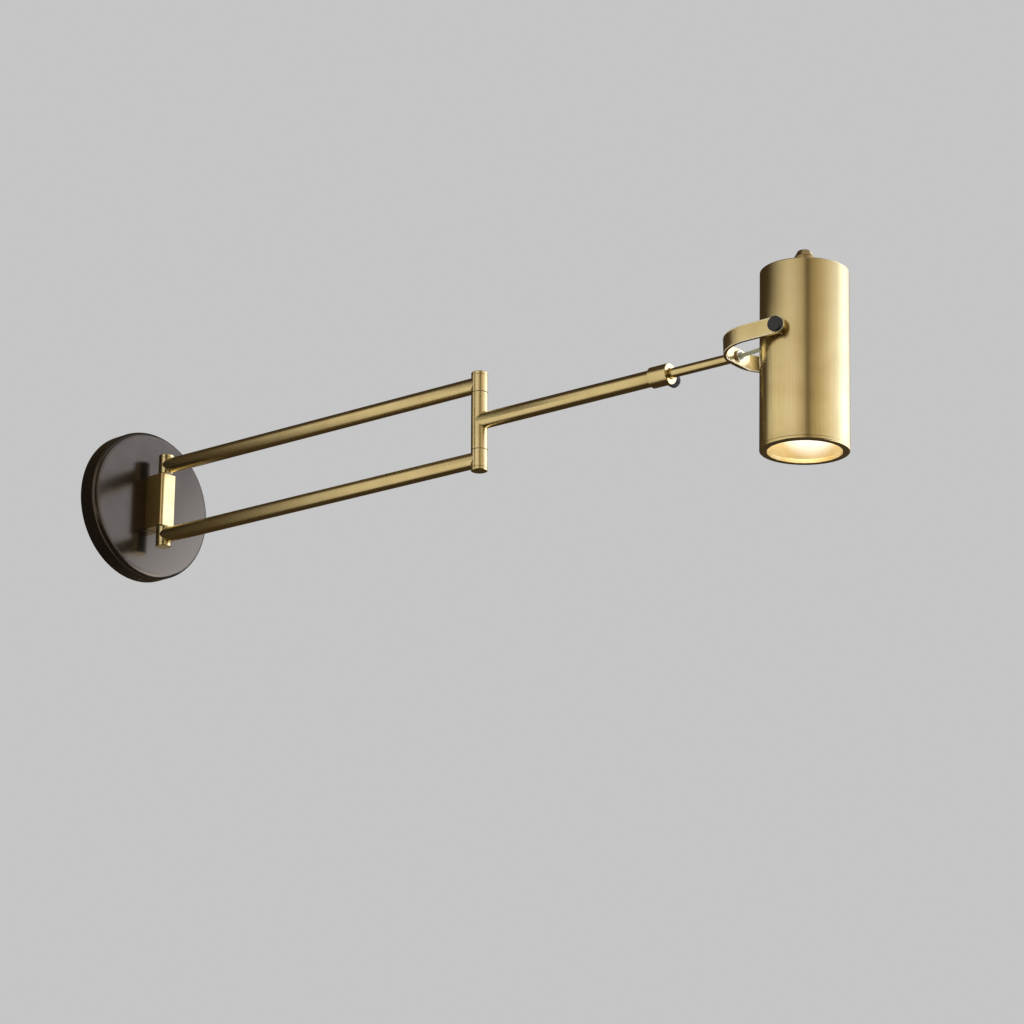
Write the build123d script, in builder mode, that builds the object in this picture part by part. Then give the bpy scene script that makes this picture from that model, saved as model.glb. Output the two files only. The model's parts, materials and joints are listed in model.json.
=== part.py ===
from build123d import *
from math import cos, pi, radians, sin, sqrt, tan
import os

os.makedirs("parts", exist_ok=True)

# A swing arm wall lamp. The origin is the middle of the wall plate's back, +Z is up, the wall is the plane
# y = 0 and the lamp stands out towards -Y. All sizes are millimetres, all angles degrees.

# Wall plate: a spun cup, open at the back
plate_diameter = 127.0
plate_depth = 18.0
plate_wall = 2.0
plate_edge_radius = 4.5

# Mounting strap behind the plate, and the grub screws that hold the plate on its tabs
strap_width = 20.0
strap_thickness = 2.5
strap_tab_depth = 12.0
strap_bend_radius = 1.0
rim_screw_diameter = 4.0
rim_screw_from_wall = 7.0
box_slot_spacing = 79.0
box_slot_length = 22.0
box_slot_width = 5.0
wire_hole_diameter = 9.0
wire_hole_height = 15.0
ground_screw_diameter = 4.0
ground_screw_head = 8.0
ground_screw_height = 27.0

# Hinge block on the plate, a bar about the hinge post with rounded front corners
post_reach = 33.5
block_front_wall = 1.8
block_width = 15.5
block_corner = 2.4
block_height = 46.0
block_edge = 0.5
block_screw_diameter = 5.0
block_screw_head = 8.5
block_screw_head_height = 3.0
block_screw_bite = 9.0
block_screw_spacing = 26.0
block_washer_diameter = 11.0
block_washer_thickness = 1.0

# Hinge posts: pin, knuckles, washers and end caps
pin_diameter = 6.0
pin_bore = 3.6
cap_height = 2.7
cap_edge_radius = 0.7
cap_bore_depth = 1.6
washer_thickness = 0.6
washer_setback = 1.0

# Arm tubes
tube_diameter = 12.7
tube_wall = 1.2
knuckle_margin = 0.5
saddle_margin = 0.15
arm_length = 335.5
outer_tube_length = 161.7

# Clamp collar and thumb screw
collar_diameter = 16.0
collar_length = 16.5
collar_socket_depth = 6.0
collar_chamfer = 0.5
collar_front_chamfer = 0.4
collar_mouth_chamfer = 0.6
thumb_from_collar_back = 9.3
thumb_thread_diameter = 4.0
thumb_neck_diameter = 6.5
thumb_neck_length = 2.2
thumb_head_diameter = 10.0
thumb_head_length = 6.0
thumb_flutes = 22
thumb_flute_radius = 0.5

# Slide rod
rod_diameter = 7.5
rod_bore = 4.6
rod_out = 55.0
rod_in = 116.0
rod_neck_diameter = 6.0
guide_length = 12.0
yoke_nut_diameter = 9.0
yoke_nut_height = 1.8
yoke_nut_edge = 0.4
bush_length = 9.0
bush_flange_height = 0.8
bush_flange_diameter = 5.6

# Yoke: a round U about the head, with a flat seat inside its base
yoke_width = 12.7
yoke_thickness = 2.3
yoke_corner_radius = 34.2
yoke_seat_thickness = 4.2
yoke_gap = 23.6
yoke_edge = 0.4

# Pivots of the head in the yoke
pivot_screw_diameter = 5.0
pivot_screw_head = 11.2
pivot_screw_head_height = 3.0
pivot_screw_edge = 0.6
pivot_boss_diameter = 9.6
pivot_boss_height = 3.0
pivot_boss_neck = 8.0
pivot_boss_depth = 4.5
friction_washer_thickness = 0.8

# Lamp head
head_diameter = 64.0
pivot_to_top = 50.5
pivot_to_bottom = 83.5
shell_wall = 1.5
shell_top_radius = 0.8
seam_chamfer = 0.35
cap_thickness = 3.0
bezel_opening = 53.4
bezel_height = 2.2
bezel_spigot_height = 6.0
bezel_spigot_wall = 1.6
bezel_edge_radius = 0.8
reflector_wall = 0.8
reflector_step = 0.6

# Lamp, holder and switch inside the head
bulb_diameter = 49.6
bulb_length = 50.0
bulb_rim_height = 6.0
bulb_neck_diameter = 26.0
bulb_neck_height = 14.0
bulb_lens_drop = 1.2
bulb_recess = 17.5
bulb_pin_diameter = 4.6
bulb_pin_length = 6.0
bulb_pin_spacing = 10.0
holder_diameter = 29.0
holder_height = 20.0
holder_edge = 1.0
holder_screw_diameter = 3.0
holder_screw_head = 5.5
holder_screw_head_height = 2.0
holder_screw_bite = 6.0
holder_screw_spacing = 18.0
bracket_width = 12.0
bracket_thickness = 1.5
bracket_side_room = 2.0
switch_diameter = 18.0
switch_height = 20.0
switch_bushing_diameter = 10.0
switch_shaft_diameter = 5.0
switch_shaft_depth = 8.0
switch_nut_diameter = 14.0
switch_nut_height = 3.0

# Switch knob on top of the head
knob_skirt_diameter = 14.8
knob_skirt_height = 8.2
knob_top_diameter = 9.6
knob_top_height = 4.8
knob_edge = 1.0
knob_flutes = 28
knob_flute_radius = 0.45

# Flex between the rod and the head
flex_diameter = 3.0
flex_straight = 4.0
flex_held = 9.5
flex_bend_share = 0.45
grommet_flange = 9.0
grommet_neck = 6.4
grommet_lip = 1.0

# Clearances
press_play = 0.02
running_play = 0.05
free_play = 0.3
flex_play = 0.1

# Rest pose: the arms stand out from the wall a little to one side, and the head leans out a little
rest_swing = 4.0
rest_tilt = 2.0

# Sizes that follow from the ones above
plate_radius = plate_diameter / 2
head_radius = head_diameter / 2
shell_inner_radius = head_radius - shell_wall
knuckle_diameter = tube_diameter + 2 * saddle_margin
knuckle_height = tube_diameter + 2 * knuckle_margin
washer_space = washer_thickness + 2 * running_play
tube_height = block_height / 2 + washer_space + knuckle_height / 2
cap_base = tube_height + knuckle_height / 2 + running_play
pin_length = 2 * (cap_base + cap_bore_depth)
collar_face = outer_tube_length + collar_length
rod_start = collar_face - rod_in
yoke_back = collar_face + rod_out
yoke_front = yoke_back + yoke_seat_thickness
head_reach = yoke_front + yoke_gap + head_radius
yoke_inner = head_radius + pivot_boss_height + friction_washer_thickness + 2 * running_play
yoke_outer = yoke_inner + yoke_thickness
shell_bottom = bezel_height - pivot_to_bottom
bulb_face = bulb_recess - pivot_to_bottom
holder_base = bulb_face + bulb_length
bracket_base = holder_base + holder_height
bracket_top = pivot_to_top - cap_thickness
knob_base = pivot_to_top + switch_nut_height + 2 * free_play

# Frames. Each has x along the arm, away from the wall, y across it and z up
arm_direction = Vector(sin(radians(rest_swing)), -cos(radians(rest_swing)), 0)
up = Vector(0, 0, 1)
wall_post = Plane(origin=(0, -post_reach, 0), x_dir=arm_direction, z_dir=up)
elbow = Plane(origin=wall_post.from_local_coords((arm_length, 0, 0)), x_dir=arm_direction, z_dir=up)
head_up = up * cos(radians(rest_tilt)) + arm_direction * sin(radians(rest_tilt))
head_out = arm_direction * cos(radians(rest_tilt)) - up * sin(radians(rest_tilt))
head = Plane(origin=elbow.from_local_coords((head_reach, 0, 0)), x_dir=head_out, z_dir=head_up)
head_axis = Axis(head.origin, head.z_dir)

ON_BASE = (Align.CENTER, Align.CENTER, Align.MIN)
ALONG_X = (0, 90, 0)
BACK_X = (0, -90, 0)
ALONG_Y = (-90, 0, 0)


def across(frame, along, height=0.0):
    """Plane square to the arm, its normal along the arm, its x across it and its y up."""
    return Plane(origin=frame.from_local_coords((along, 0, height)), x_dir=frame.y_dir, z_dir=frame.x_dir)


def sideways(frame, along, out=0.0):
    """Plane facing across the arm, its normal along the frame's y, its x up and its y along the arm."""
    return Plane(origin=frame.from_local_coords((along, out, 0)), x_dir=frame.z_dir, z_dir=frame.y_dir)


def upright(frame):
    """Plane through a frame's z axis, its x along the arm and its y up, for profiles that are turned."""
    return Plane(origin=frame.origin, x_dir=frame.x_dir, z_dir=-frame.y_dir)


# Wall plate
with BuildPart() as wall_plate:
    edge_centre = (plate_radius - plate_edge_radius, plate_edge_radius - plate_depth)
    inner_edge = plate_edge_radius - plate_wall
    with BuildSketch(Plane.XY):
        with BuildLine():
            Line((0, -plate_depth), (edge_centre[0], -plate_depth))
            CenterArc(edge_centre, plate_edge_radius, -90, 90)
            Polyline(
                (plate_radius, edge_centre[1]),
                (plate_radius, 0),
                (plate_radius - plate_wall, 0),
                (plate_radius - plate_wall, edge_centre[1]),
            )
            CenterArc(edge_centre, inner_edge, -90, 90)
            Polyline(
                (edge_centre[0], plate_wall - plate_depth),
                (0, plate_wall - plate_depth),
                (0, -plate_depth),
            )
        make_face()
    revolve(axis=Axis.Y)
    with BuildSketch(Plane.XZ.offset(plate_depth)):
        Circle(wire_hole_diameter / 2)
        with GridLocations(0, block_screw_spacing, 1, 2):
            Circle(block_screw_diameter / 2 + free_play)
    extrude(amount=-plate_depth, mode=Mode.SUBTRACT)
    with BuildSketch(Plane.XY.offset(-plate_diameter)):
        with Locations((0, -rim_screw_from_wall)):
            Circle(rim_screw_diameter / 2 + running_play)
    extrude(amount=2 * plate_diameter, mode=Mode.SUBTRACT)
wall_plate.part.label = "wall_plate"
export_step(wall_plate.part, "parts/wall_plate.step")

# Mounting strap: a flat bar on the wall with its ends bent forward into tabs
strap_half = sqrt((plate_radius - plate_wall - free_play) ** 2 - (strap_width / 2) ** 2)
with BuildPart() as mounting_strap:
    with BuildSketch(Plane.YZ):
        with BuildLine():
            Polyline(
                (0, -strap_half),
                (0, strap_half),
                (-strap_tab_depth, strap_half),
                (-strap_tab_depth, strap_half - strap_thickness),
                (-strap_thickness, strap_half - strap_thickness),
                (-strap_thickness, strap_thickness - strap_half),
                (-strap_tab_depth, strap_thickness - strap_half),
                (-strap_tab_depth, -strap_half),
                close=True,
            )
        make_face()
    extrude(amount=strap_width / 2, both=True)
    bends = mounting_strap.edges().filter_by(Axis.X).group_by(Axis.Y)
    fillet(bends[-1] + bends[1], strap_bend_radius)
    with BuildSketch(Plane.XZ):
        with GridLocations(0, box_slot_spacing, 1, 2):
            SlotOverall(box_slot_length, box_slot_width, rotation=90)
        with GridLocations(0, 2 * wire_hole_height, 1, 2):
            Circle(wire_hole_diameter / 2)
        with Locations((strap_width / 4, ground_screw_height)):
            Circle(ground_screw_diameter / 2 + press_play)
    extrude(amount=strap_thickness, mode=Mode.SUBTRACT)
    with BuildSketch(Plane.XY.offset(-plate_diameter)):
        with Locations((0, -rim_screw_from_wall)):
            Circle(rim_screw_diameter / 2 + press_play)
    extrude(amount=2 * plate_diameter, mode=Mode.SUBTRACT)
mounting_strap.part.label = "mounting_strap"
export_step(mounting_strap.part, "parts/mounting_strap.step")

# Grub screws through the rim, flush with it, above and below
with BuildPart() as rim_screws:
    rim_screw_length = plate_radius - strap_half + strap_thickness
    with Locations((0, -rim_screw_from_wall, plate_radius - free_play - rim_screw_length)):
        Cylinder(rim_screw_diameter / 2, rim_screw_length, align=ON_BASE)
    slot_floor = rim_screws.faces().sort_by(Axis.Z)[-1]
    with BuildSketch(Plane(slot_floor)):
        RegularPolygon(rim_screw_diameter / 4, 6)
    extrude(amount=-rim_screw_diameter / 2, mode=Mode.SUBTRACT)
    mirror(about=Plane.XY)
rim_screws.part.label = "rim_screws"
export_step(rim_screws.part, "parts/rim_screws.step")

# Ground screw in the strap
with BuildPart(Plane.XZ) as ground_screw:
    with Locations((strap_width / 4, ground_screw_height, 0)):
        Cylinder(ground_screw_diameter / 2, strap_thickness, align=ON_BASE)
    with Locations((strap_width / 4, ground_screw_height, strap_thickness)):
        Cylinder(ground_screw_head / 2, ground_screw_diameter / 2, align=ON_BASE)
        Box(ground_screw_head, ground_screw_diameter / 4, ground_screw_diameter, mode=Mode.SUBTRACT)
ground_screw.part.label = "ground_screw"
export_step(ground_screw.part, "parts/ground_screw.step")

# Hinge block: a bar from the plate to just in front of the post
block_front = post_reach + pin_diameter / 2 + block_front_wall
with BuildPart() as hinge_block:
    with BuildSketch(Plane.XY.offset(-block_height / 2)) as block_outline:
        with Locations((0, -(plate_depth + block_front) / 2)):
            Rectangle(block_width, block_front - plate_depth)
        fillet(block_outline.vertices().group_by(Axis.Y)[0], block_corner)
    extrude(amount=block_height)
    ends = hinge_block.faces().filter_by(Axis.Z)
    chamfer(ends.edges(), block_edge)
    with Locations((0, -post_reach, 0)):
        Cylinder(pin_diameter / 2 + press_play, block_height, mode=Mode.SUBTRACT)
    with BuildSketch(Plane.XZ.offset(plate_depth)):
        Circle(pin_bore / 2)
    extrude(amount=post_reach - plate_depth, mode=Mode.SUBTRACT)
    with BuildSketch(Plane.XZ.offset(plate_depth)):
        with GridLocations(0, block_screw_spacing, 1, 2):
            Circle(block_screw_diameter / 2 + press_play)
    extrude(amount=block_screw_bite, mode=Mode.SUBTRACT)
hinge_block.part.label = "hinge_block"
export_step(hinge_block.part, "parts/hinge_block.step")

# Screws and washers that hold the block to the plate, from inside the plate
with BuildPart() as block_washers:
    with BuildSketch(Plane.XZ.offset(plate_depth - plate_wall)):
        with GridLocations(0, block_screw_spacing, 1, 2):
            Circle(block_washer_diameter / 2)
            Circle(block_screw_diameter / 2 + running_play, mode=Mode.SUBTRACT)
    extrude(amount=-block_washer_thickness)
block_washers.part.label = "block_washers"
export_step(block_washers.part, "parts/block_washers.step")

block_screw_seat = plate_depth - plate_wall - block_washer_thickness
with BuildPart() as block_screws:
    with BuildSketch(Plane.XZ.offset(block_screw_seat)):
        with GridLocations(0, block_screw_spacing, 1, 2):
            Circle(block_screw_head / 2)
    extrude(amount=-block_screw_head_height)
    with BuildSketch(Plane.XZ.offset(block_screw_seat)):
        with GridLocations(0, block_screw_spacing, 1, 2):
            Circle(block_screw_diameter / 2)
    extrude(amount=plate_depth - block_screw_seat + block_screw_bite - free_play)
    with BuildSketch(Plane.XZ.offset(block_screw_seat - block_screw_head_height)):
        with GridLocations(0, block_screw_spacing, 1, 2):
            Rectangle(block_screw_head / 2, block_screw_head / 8)
            Rectangle(block_screw_head / 8, block_screw_head / 2)
    extrude(amount=block_screw_head_height / 2, mode=Mode.SUBTRACT)
block_screws.part.label = "block_screws"
export_step(block_screws.part, "parts/block_screws.step")

# The two hinge posts: a hollow pin, a cap on each end and washers between what turns and what stands
for place, post in (("wall", wall_post), ("elbow", elbow)):
    with BuildPart(post) as pin:
        Cylinder(pin_diameter / 2, pin_length)
        Cylinder(pin_bore / 2, pin_length, mode=Mode.SUBTRACT)
        with Locations((0, 0, -tube_height), (0, 0, 0), (0, 0, tube_height)):
            Cylinder(pin_bore / 2, 2 * pin_diameter, rotation=ALONG_X, mode=Mode.SUBTRACT)
    pin.part.label = f"{place}_hinge_pin"
    export_step(pin.part, f"parts/{place}_hinge_pin.step")

    with BuildPart(post) as pin_caps:
        with Locations((0, 0, cap_base)):
            Cylinder(knuckle_diameter / 2, cap_height, align=ON_BASE)
        fillet(pin_caps.faces().sort_by(Axis.Z)[-1].edges(), cap_edge_radius)
        with Locations((0, 0, cap_base)):
            Cylinder(pin_diameter / 2 + press_play, cap_bore_depth, align=ON_BASE, mode=Mode.SUBTRACT)
        mirror(about=Plane.XY)
    pin_caps.part.label = f"{place}_pin_caps"
    export_step(pin_caps.part, f"parts/{place}_pin_caps.step")

    with BuildPart(post) as washers:
        with Locations((0, 0, block_height / 2 + running_play)):
            Cylinder(knuckle_diameter / 2 - washer_setback, washer_thickness, align=ON_BASE)
            Cylinder(
                pin_diameter / 2 + running_play, washer_thickness, align=ON_BASE, mode=Mode.SUBTRACT
            )
        mirror(about=Plane.XY)
    washers.part.label = f"{place}_hinge_washers"
    export_step(washers.part, f"parts/{place}_hinge_washers.step")

# Parallel tubes of the inner arm and the knuckles at their ends
for level, side in (("upper", 1), ("lower", -1)):
    with BuildPart(across(wall_post, 0, side * tube_height)) as arm_tube:
        Cylinder(tube_diameter / 2, arm_length, align=ON_BASE)
        Cylinder(tube_diameter / 2 - tube_wall, arm_length, align=ON_BASE, mode=Mode.SUBTRACT)
        with Locations((0, 0, 0), (0, 0, arm_length)):
            Cylinder(knuckle_diameter / 2, 2 * knuckle_height, rotation=ALONG_Y, mode=Mode.SUBTRACT)
    arm_tube.part.label = f"{level}_arm_tube"
    export_step(arm_tube.part, f"parts/{level}_arm_tube.step")

    for place, post, bore_play, towards_tube in (
        ("wall", wall_post, running_play, ALONG_X),
        ("elbow", elbow, press_play, BACK_X),
    ):
        with BuildPart(post.offset(side * tube_height)) as knuckle:
            Cylinder(knuckle_diameter / 2, knuckle_height)
            Cylinder(pin_diameter / 2 + bore_play, knuckle_height, mode=Mode.SUBTRACT)
            Cylinder(
                pin_bore / 2, knuckle_diameter, rotation=towards_tube, align=ON_BASE, mode=Mode.SUBTRACT
            )
        knuckle.part.label = f"{level}_{place}_knuckle"
        export_step(knuckle.part, f"parts/{level}_{place}_knuckle.step")

# Outer arm: a sleeve on the elbow pin and one tube from it
with BuildPart(elbow) as elbow_sleeve:
    Cylinder(knuckle_diameter / 2, block_height)
    Cylinder(pin_diameter / 2 + running_play, block_height, mode=Mode.SUBTRACT)
    Cylinder(pin_bore / 2, knuckle_diameter, rotation=ALONG_X, align=ON_BASE, mode=Mode.SUBTRACT)
elbow_sleeve.part.label = "elbow_sleeve"
export_step(elbow_sleeve.part, "parts/elbow_sleeve.step")

with BuildPart(across(elbow, 0)) as outer_arm_tube:
    outer_tube_end = outer_tube_length + collar_socket_depth
    Cylinder(tube_diameter / 2, outer_tube_end, align=ON_BASE)
    Cylinder(tube_diameter / 2 - tube_wall, outer_tube_end, align=ON_BASE, mode=Mode.SUBTRACT)
    Cylinder(knuckle_diameter / 2, 2 * knuckle_height, rotation=ALONG_Y, mode=Mode.SUBTRACT)
outer_arm_tube.part.label = "outer_arm_tube"
export_step(outer_arm_tube.part, "parts/outer_arm_tube.step")

# Clamp collar on the tube's end, with a side hole for the thumb screw
arm_axis = Axis(elbow.origin, elbow.x_dir)
thumb_along = outer_tube_length + thumb_from_collar_back
with BuildPart() as clamp_collar:
    collar_radius = collar_diameter / 2
    socket_radius = tube_diameter / 2 + press_play
    socket_floor = outer_tube_length + collar_socket_depth
    mouth_radius = rod_diameter / 2 + running_play
    with BuildSketch(upright(elbow)):
        with BuildLine():
            Polyline(
                (outer_tube_length, socket_radius),
                (outer_tube_length, collar_radius - collar_chamfer),
                (outer_tube_length + collar_chamfer, collar_radius),
                (collar_face - collar_front_chamfer, collar_radius),
                (collar_face, collar_radius - collar_front_chamfer),
                (collar_face, mouth_radius + collar_mouth_chamfer),
                (collar_face - collar_mouth_chamfer, mouth_radius),
                (socket_floor, mouth_radius),
                (socket_floor, socket_radius),
                close=True,
            )
        make_face()
    revolve(axis=arm_axis)
    with Locations(sideways(elbow, thumb_along)):
        Cylinder(
            thumb_thread_diameter / 2 + running_play, collar_diameter, align=ON_BASE, mode=Mode.SUBTRACT
        )
clamp_collar.part.label = "clamp_collar"
export_step(clamp_collar.part, "parts/clamp_collar.step")

# Thumb screw: its tip stops at the rod, its fluted head stands clear of the collar
thumb_tip = rod_diameter / 2 + running_play
thumb_neck_start = collar_diameter / 2 + free_play
thumb_head_start = thumb_neck_start + thumb_neck_length
with BuildPart() as thumb_screw:
    with BuildSketch(sideways(elbow, thumb_along, thumb_tip)):
        Circle(thumb_thread_diameter / 2)
    extrude(amount=thumb_head_start - thumb_tip)
    with BuildSketch(sideways(elbow, thumb_along, thumb_neck_start)):
        Circle(thumb_neck_diameter / 2)
    extrude(amount=thumb_neck_length)
    with BuildSketch(sideways(elbow, thumb_along, thumb_head_start)):
        Circle(thumb_head_diameter / 2)
        with PolarLocations(thumb_head_diameter / 2, thumb_flutes):
            Circle(thumb_flute_radius, mode=Mode.SUBTRACT)
    extrude(amount=thumb_head_length)
thumb_screw.part.label = "thumb_screw"
export_step(thumb_screw.part, "parts/thumb_screw.step")

# Slide rod: a tube in the outer arm, with a thinner neck through the yoke
rod_neck_end = yoke_front + yoke_nut_height
with BuildPart() as slide_rod:
    with BuildSketch(across(elbow, rod_start)):
        Circle(rod_diameter / 2)
    extrude(amount=yoke_back - running_play - rod_start)
    with BuildSketch(across(elbow, yoke_back - running_play)):
        Circle(rod_neck_diameter / 2)
    extrude(amount=rod_neck_end - yoke_back + running_play)
    with BuildSketch(across(elbow, rod_start)):
        Circle(rod_bore / 2)
    extrude(amount=rod_neck_end - rod_start, mode=Mode.SUBTRACT)
slide_rod.part.label = "slide_rod"
export_step(slide_rod.part, "parts/slide_rod.step")

# Guide on the rod's inner end, which runs in the tube and can't pass the collar
with BuildPart(across(elbow, rod_start)) as rod_guide:
    Cylinder(tube_diameter / 2 - tube_wall - running_play, guide_length, align=ON_BASE)
    Cylinder(rod_diameter / 2 + press_play, guide_length, align=ON_BASE, mode=Mode.SUBTRACT)
rod_guide.part.label = "rod_guide"
export_step(rod_guide.part, "parts/rod_guide.step")

# Nut on the neck, inside the yoke
with BuildPart(across(elbow, yoke_front + running_play)) as yoke_nut:
    Cylinder(yoke_nut_diameter / 2, yoke_nut_height - running_play, align=ON_BASE)
    fillet(yoke_nut.faces().sort_by(arm_axis)[-1].edges(), yoke_nut_edge)
    Cylinder(rod_neck_diameter / 2 + press_play, yoke_nut_height, align=ON_BASE, mode=Mode.SUBTRACT)
yoke_nut.part.label = "yoke_nut"
export_step(yoke_nut.part, "parts/yoke_nut.step")

# Insulating bush in the neck's end
with BuildPart(across(elbow, rod_neck_end)) as cord_bush:
    Cylinder(bush_flange_diameter / 2, bush_flange_height, align=ON_BASE)
    with Locations((0, 0, -bush_length)):
        Cylinder(rod_bore / 2 - press_play, bush_length, align=ON_BASE)
        Cylinder(
            flex_diameter / 2 + flex_play, 2 * bush_length, align=ON_BASE, mode=Mode.SUBTRACT
        )
cord_bush.part.label = "cord_bush"
export_step(cord_bush.part, "parts/cord_bush.step")

# Yoke: a round U in plan, flat inside its base, cut to round ends, with holes for the rod and the pivots
yoke_tip = head_reach + yoke_width / 2
with BuildPart() as yoke:
    with BuildSketch(elbow.offset(-yoke_width / 2)):
        with BuildLine():
            FilletPolyline(
                (yoke_tip, yoke_outer),
                (yoke_back, yoke_outer),
                (yoke_back, -yoke_outer),
                (yoke_tip, -yoke_outer),
                radius=yoke_corner_radius,
            )
            Line((yoke_tip, -yoke_outer), (yoke_tip, yoke_outer))
        make_face()
    extrude(amount=yoke_width)
    with BuildSketch(elbow.offset(-yoke_width / 2)):
        with BuildLine():
            inside_back = yoke_back + yoke_thickness
            FilletPolyline(
                (2 * yoke_tip, yoke_inner),
                (inside_back, yoke_inner),
                (inside_back, -yoke_inner),
                (2 * yoke_tip, -yoke_inner),
                radius=yoke_corner_radius - yoke_thickness,
            )
            Line((2 * yoke_tip, -yoke_inner), (2 * yoke_tip, yoke_inner))
        make_face()
        with Locations((yoke_front - yoke_outer, 0)):
            Rectangle(2 * yoke_outer, 4 * yoke_outer, mode=Mode.SUBTRACT)
    extrude(amount=yoke_width, mode=Mode.SUBTRACT)
    with BuildSketch(sideways(elbow, head_reach, -2 * yoke_outer)):
        Circle(yoke_width / 2)
        with Locations((0, -head_reach / 2)):
            Rectangle(yoke_width, head_reach)
    extrude(amount=4 * yoke_outer, mode=Mode.INTERSECT)
    fillet(yoke.edges(), yoke_edge)
    with Locations(sideways(elbow, head_reach)):
        Cylinder(pivot_screw_diameter / 2 + running_play, 3 * yoke_outer, mode=Mode.SUBTRACT)
    with Locations(across(elbow, yoke_back)):
        Cylinder(rod_neck_diameter / 2 + running_play, 3 * yoke_seat_thickness, mode=Mode.SUBTRACT)
yoke.part.label = "yoke"
export_step(yoke.part, "parts/yoke.step")

# Flex: out of the bush, over to the grommet in the head's back and just inside the shell
flex_turn_out = rod_neck_end + bush_flange_height + flex_straight
flex_turn_in = -(head_radius + grommet_lip + flex_straight)
flex_route = [
    elbow.from_local_coords((flex_turn_out - flex_held, 0, 0)),
    elbow.from_local_coords((flex_turn_out, 0, 0)),
    head.from_local_coords((flex_turn_in, 0, 0)),
    head.from_local_coords((flex_turn_in + flex_held, 0, 0)),
]
flex_runs = [end - start for start, end in zip(flex_route, flex_route[1:])]
flex_radii = []
for run, next_run in zip(flex_runs, flex_runs[1:]):
    half_turn = radians(run.get_angle(next_run)) / 2
    flex_radii.append(flex_bend_share * min(run.length, next_run.length) / tan(half_turn))
print("flex radii", [round(radius, 1) for radius in flex_radii])
with BuildPart() as flex:
    with BuildLine():
        flex_line = FilletPolyline(*flex_route, radius=flex_radii)
    with BuildSketch(across(elbow, flex_turn_out - flex_held)):
        Circle(flex_diameter / 2)
    sweep(path=flex_line)
print("flex length", round(flex_line.length, 2), "volume", round(flex.part.volume, 2))
print("flex section times length", round(pi * flex_diameter**2 / 4 * flex_line.length, 2))
flex.part.label = "flex"
export_step(flex.part, "parts/flex.step")

# Head shell: a plain tube with holes for the pivots and the flex
with BuildPart(head) as head_shell:
    with Locations((0, 0, shell_bottom)):
        shell_height = pivot_to_top - shell_bottom
        Cylinder(head_radius, shell_height, align=ON_BASE)
    fillet(head_shell.faces().sort_by(head_axis)[-1].edges(), shell_top_radius)
    chamfer(head_shell.faces().sort_by(head_axis)[0].edges(), seam_chamfer)
    with Locations((0, 0, shell_bottom)):
        Cylinder(shell_inner_radius, shell_height, align=ON_BASE, mode=Mode.SUBTRACT)
    Cylinder(pivot_boss_neck / 2 + press_play, 3 * head_radius, rotation=ALONG_Y, mode=Mode.SUBTRACT)
    Cylinder(
        grommet_neck / 2 + press_play, 2 * head_radius, rotation=BACK_X, align=ON_BASE, mode=Mode.SUBTRACT
    )
head_shell.part.label = "head_shell"
export_step(head_shell.part, "parts/head_shell.step")

# Top plate of the head, flush in the shell's end, with a hole for the switch
with BuildPart(head) as head_cap:
    with Locations((0, 0, bracket_top)):
        Cylinder(shell_inner_radius - press_play, cap_thickness, align=ON_BASE)
    chamfer(head_cap.faces().sort_by(head_axis)[-1].edges(), seam_chamfer)
    with Locations((0, 0, bracket_top)):
        Cylinder(
            switch_bushing_diameter / 2 + running_play, cap_thickness, align=ON_BASE, mode=Mode.SUBTRACT
        )
head_cap.part.label = "head_cap"
export_step(head_cap.part, "parts/head_cap.step")

# Bezel ring round the opening, with a spigot up inside the shell
spigot_radius = shell_inner_radius - press_play
spigot_top = shell_bottom + bezel_spigot_height
bezel_ledge = shell_bottom + reflector_wall
with BuildPart() as bezel_ring:
    with BuildSketch(upright(head)):
        with BuildLine():
            Polyline(
                (bezel_opening / 2, -pivot_to_bottom),
                (head_radius, -pivot_to_bottom),
                (head_radius, shell_bottom),
                (spigot_radius, shell_bottom),
                (spigot_radius, spigot_top),
                (spigot_radius - bezel_spigot_wall, spigot_top),
                (spigot_radius - bezel_spigot_wall, bezel_ledge),
                (bezel_opening / 2, bezel_ledge),
                close=True,
            )
        make_face()
    revolve(axis=head_axis)
    rim_edges = bezel_ring.edges().filter_by(GeomType.CIRCLE).group_by(head_axis)
    fillet(rim_edges[0].sort_by(SortBy.RADIUS)[-1], bezel_edge_radius)
bezel_ring.part.label = "bezel_ring"
export_step(bezel_ring.part, "parts/bezel_ring.step")

# Reflector: a thin cone from the bezel's ledge up to the lamp's rim
reflector_foot = bezel_opening / 2 + reflector_step
reflector_top_radius = bulb_diameter / 2 + free_play
with BuildPart() as reflector:
    with BuildSketch(upright(head)):
        with BuildLine():
            Polyline(
                (reflector_foot, bezel_ledge),
                (reflector_foot + reflector_wall, bezel_ledge),
                (reflector_top_radius + reflector_wall, bulb_face + bulb_rim_height),
                (reflector_top_radius, bulb_face + bulb_rim_height),
                (reflector_top_radius, bulb_face),
                close=True,
            )
        make_face()
    revolve(axis=head_axis)
reflector.part.label = "reflector"
export_step(reflector.part, "parts/reflector.step")

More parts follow.
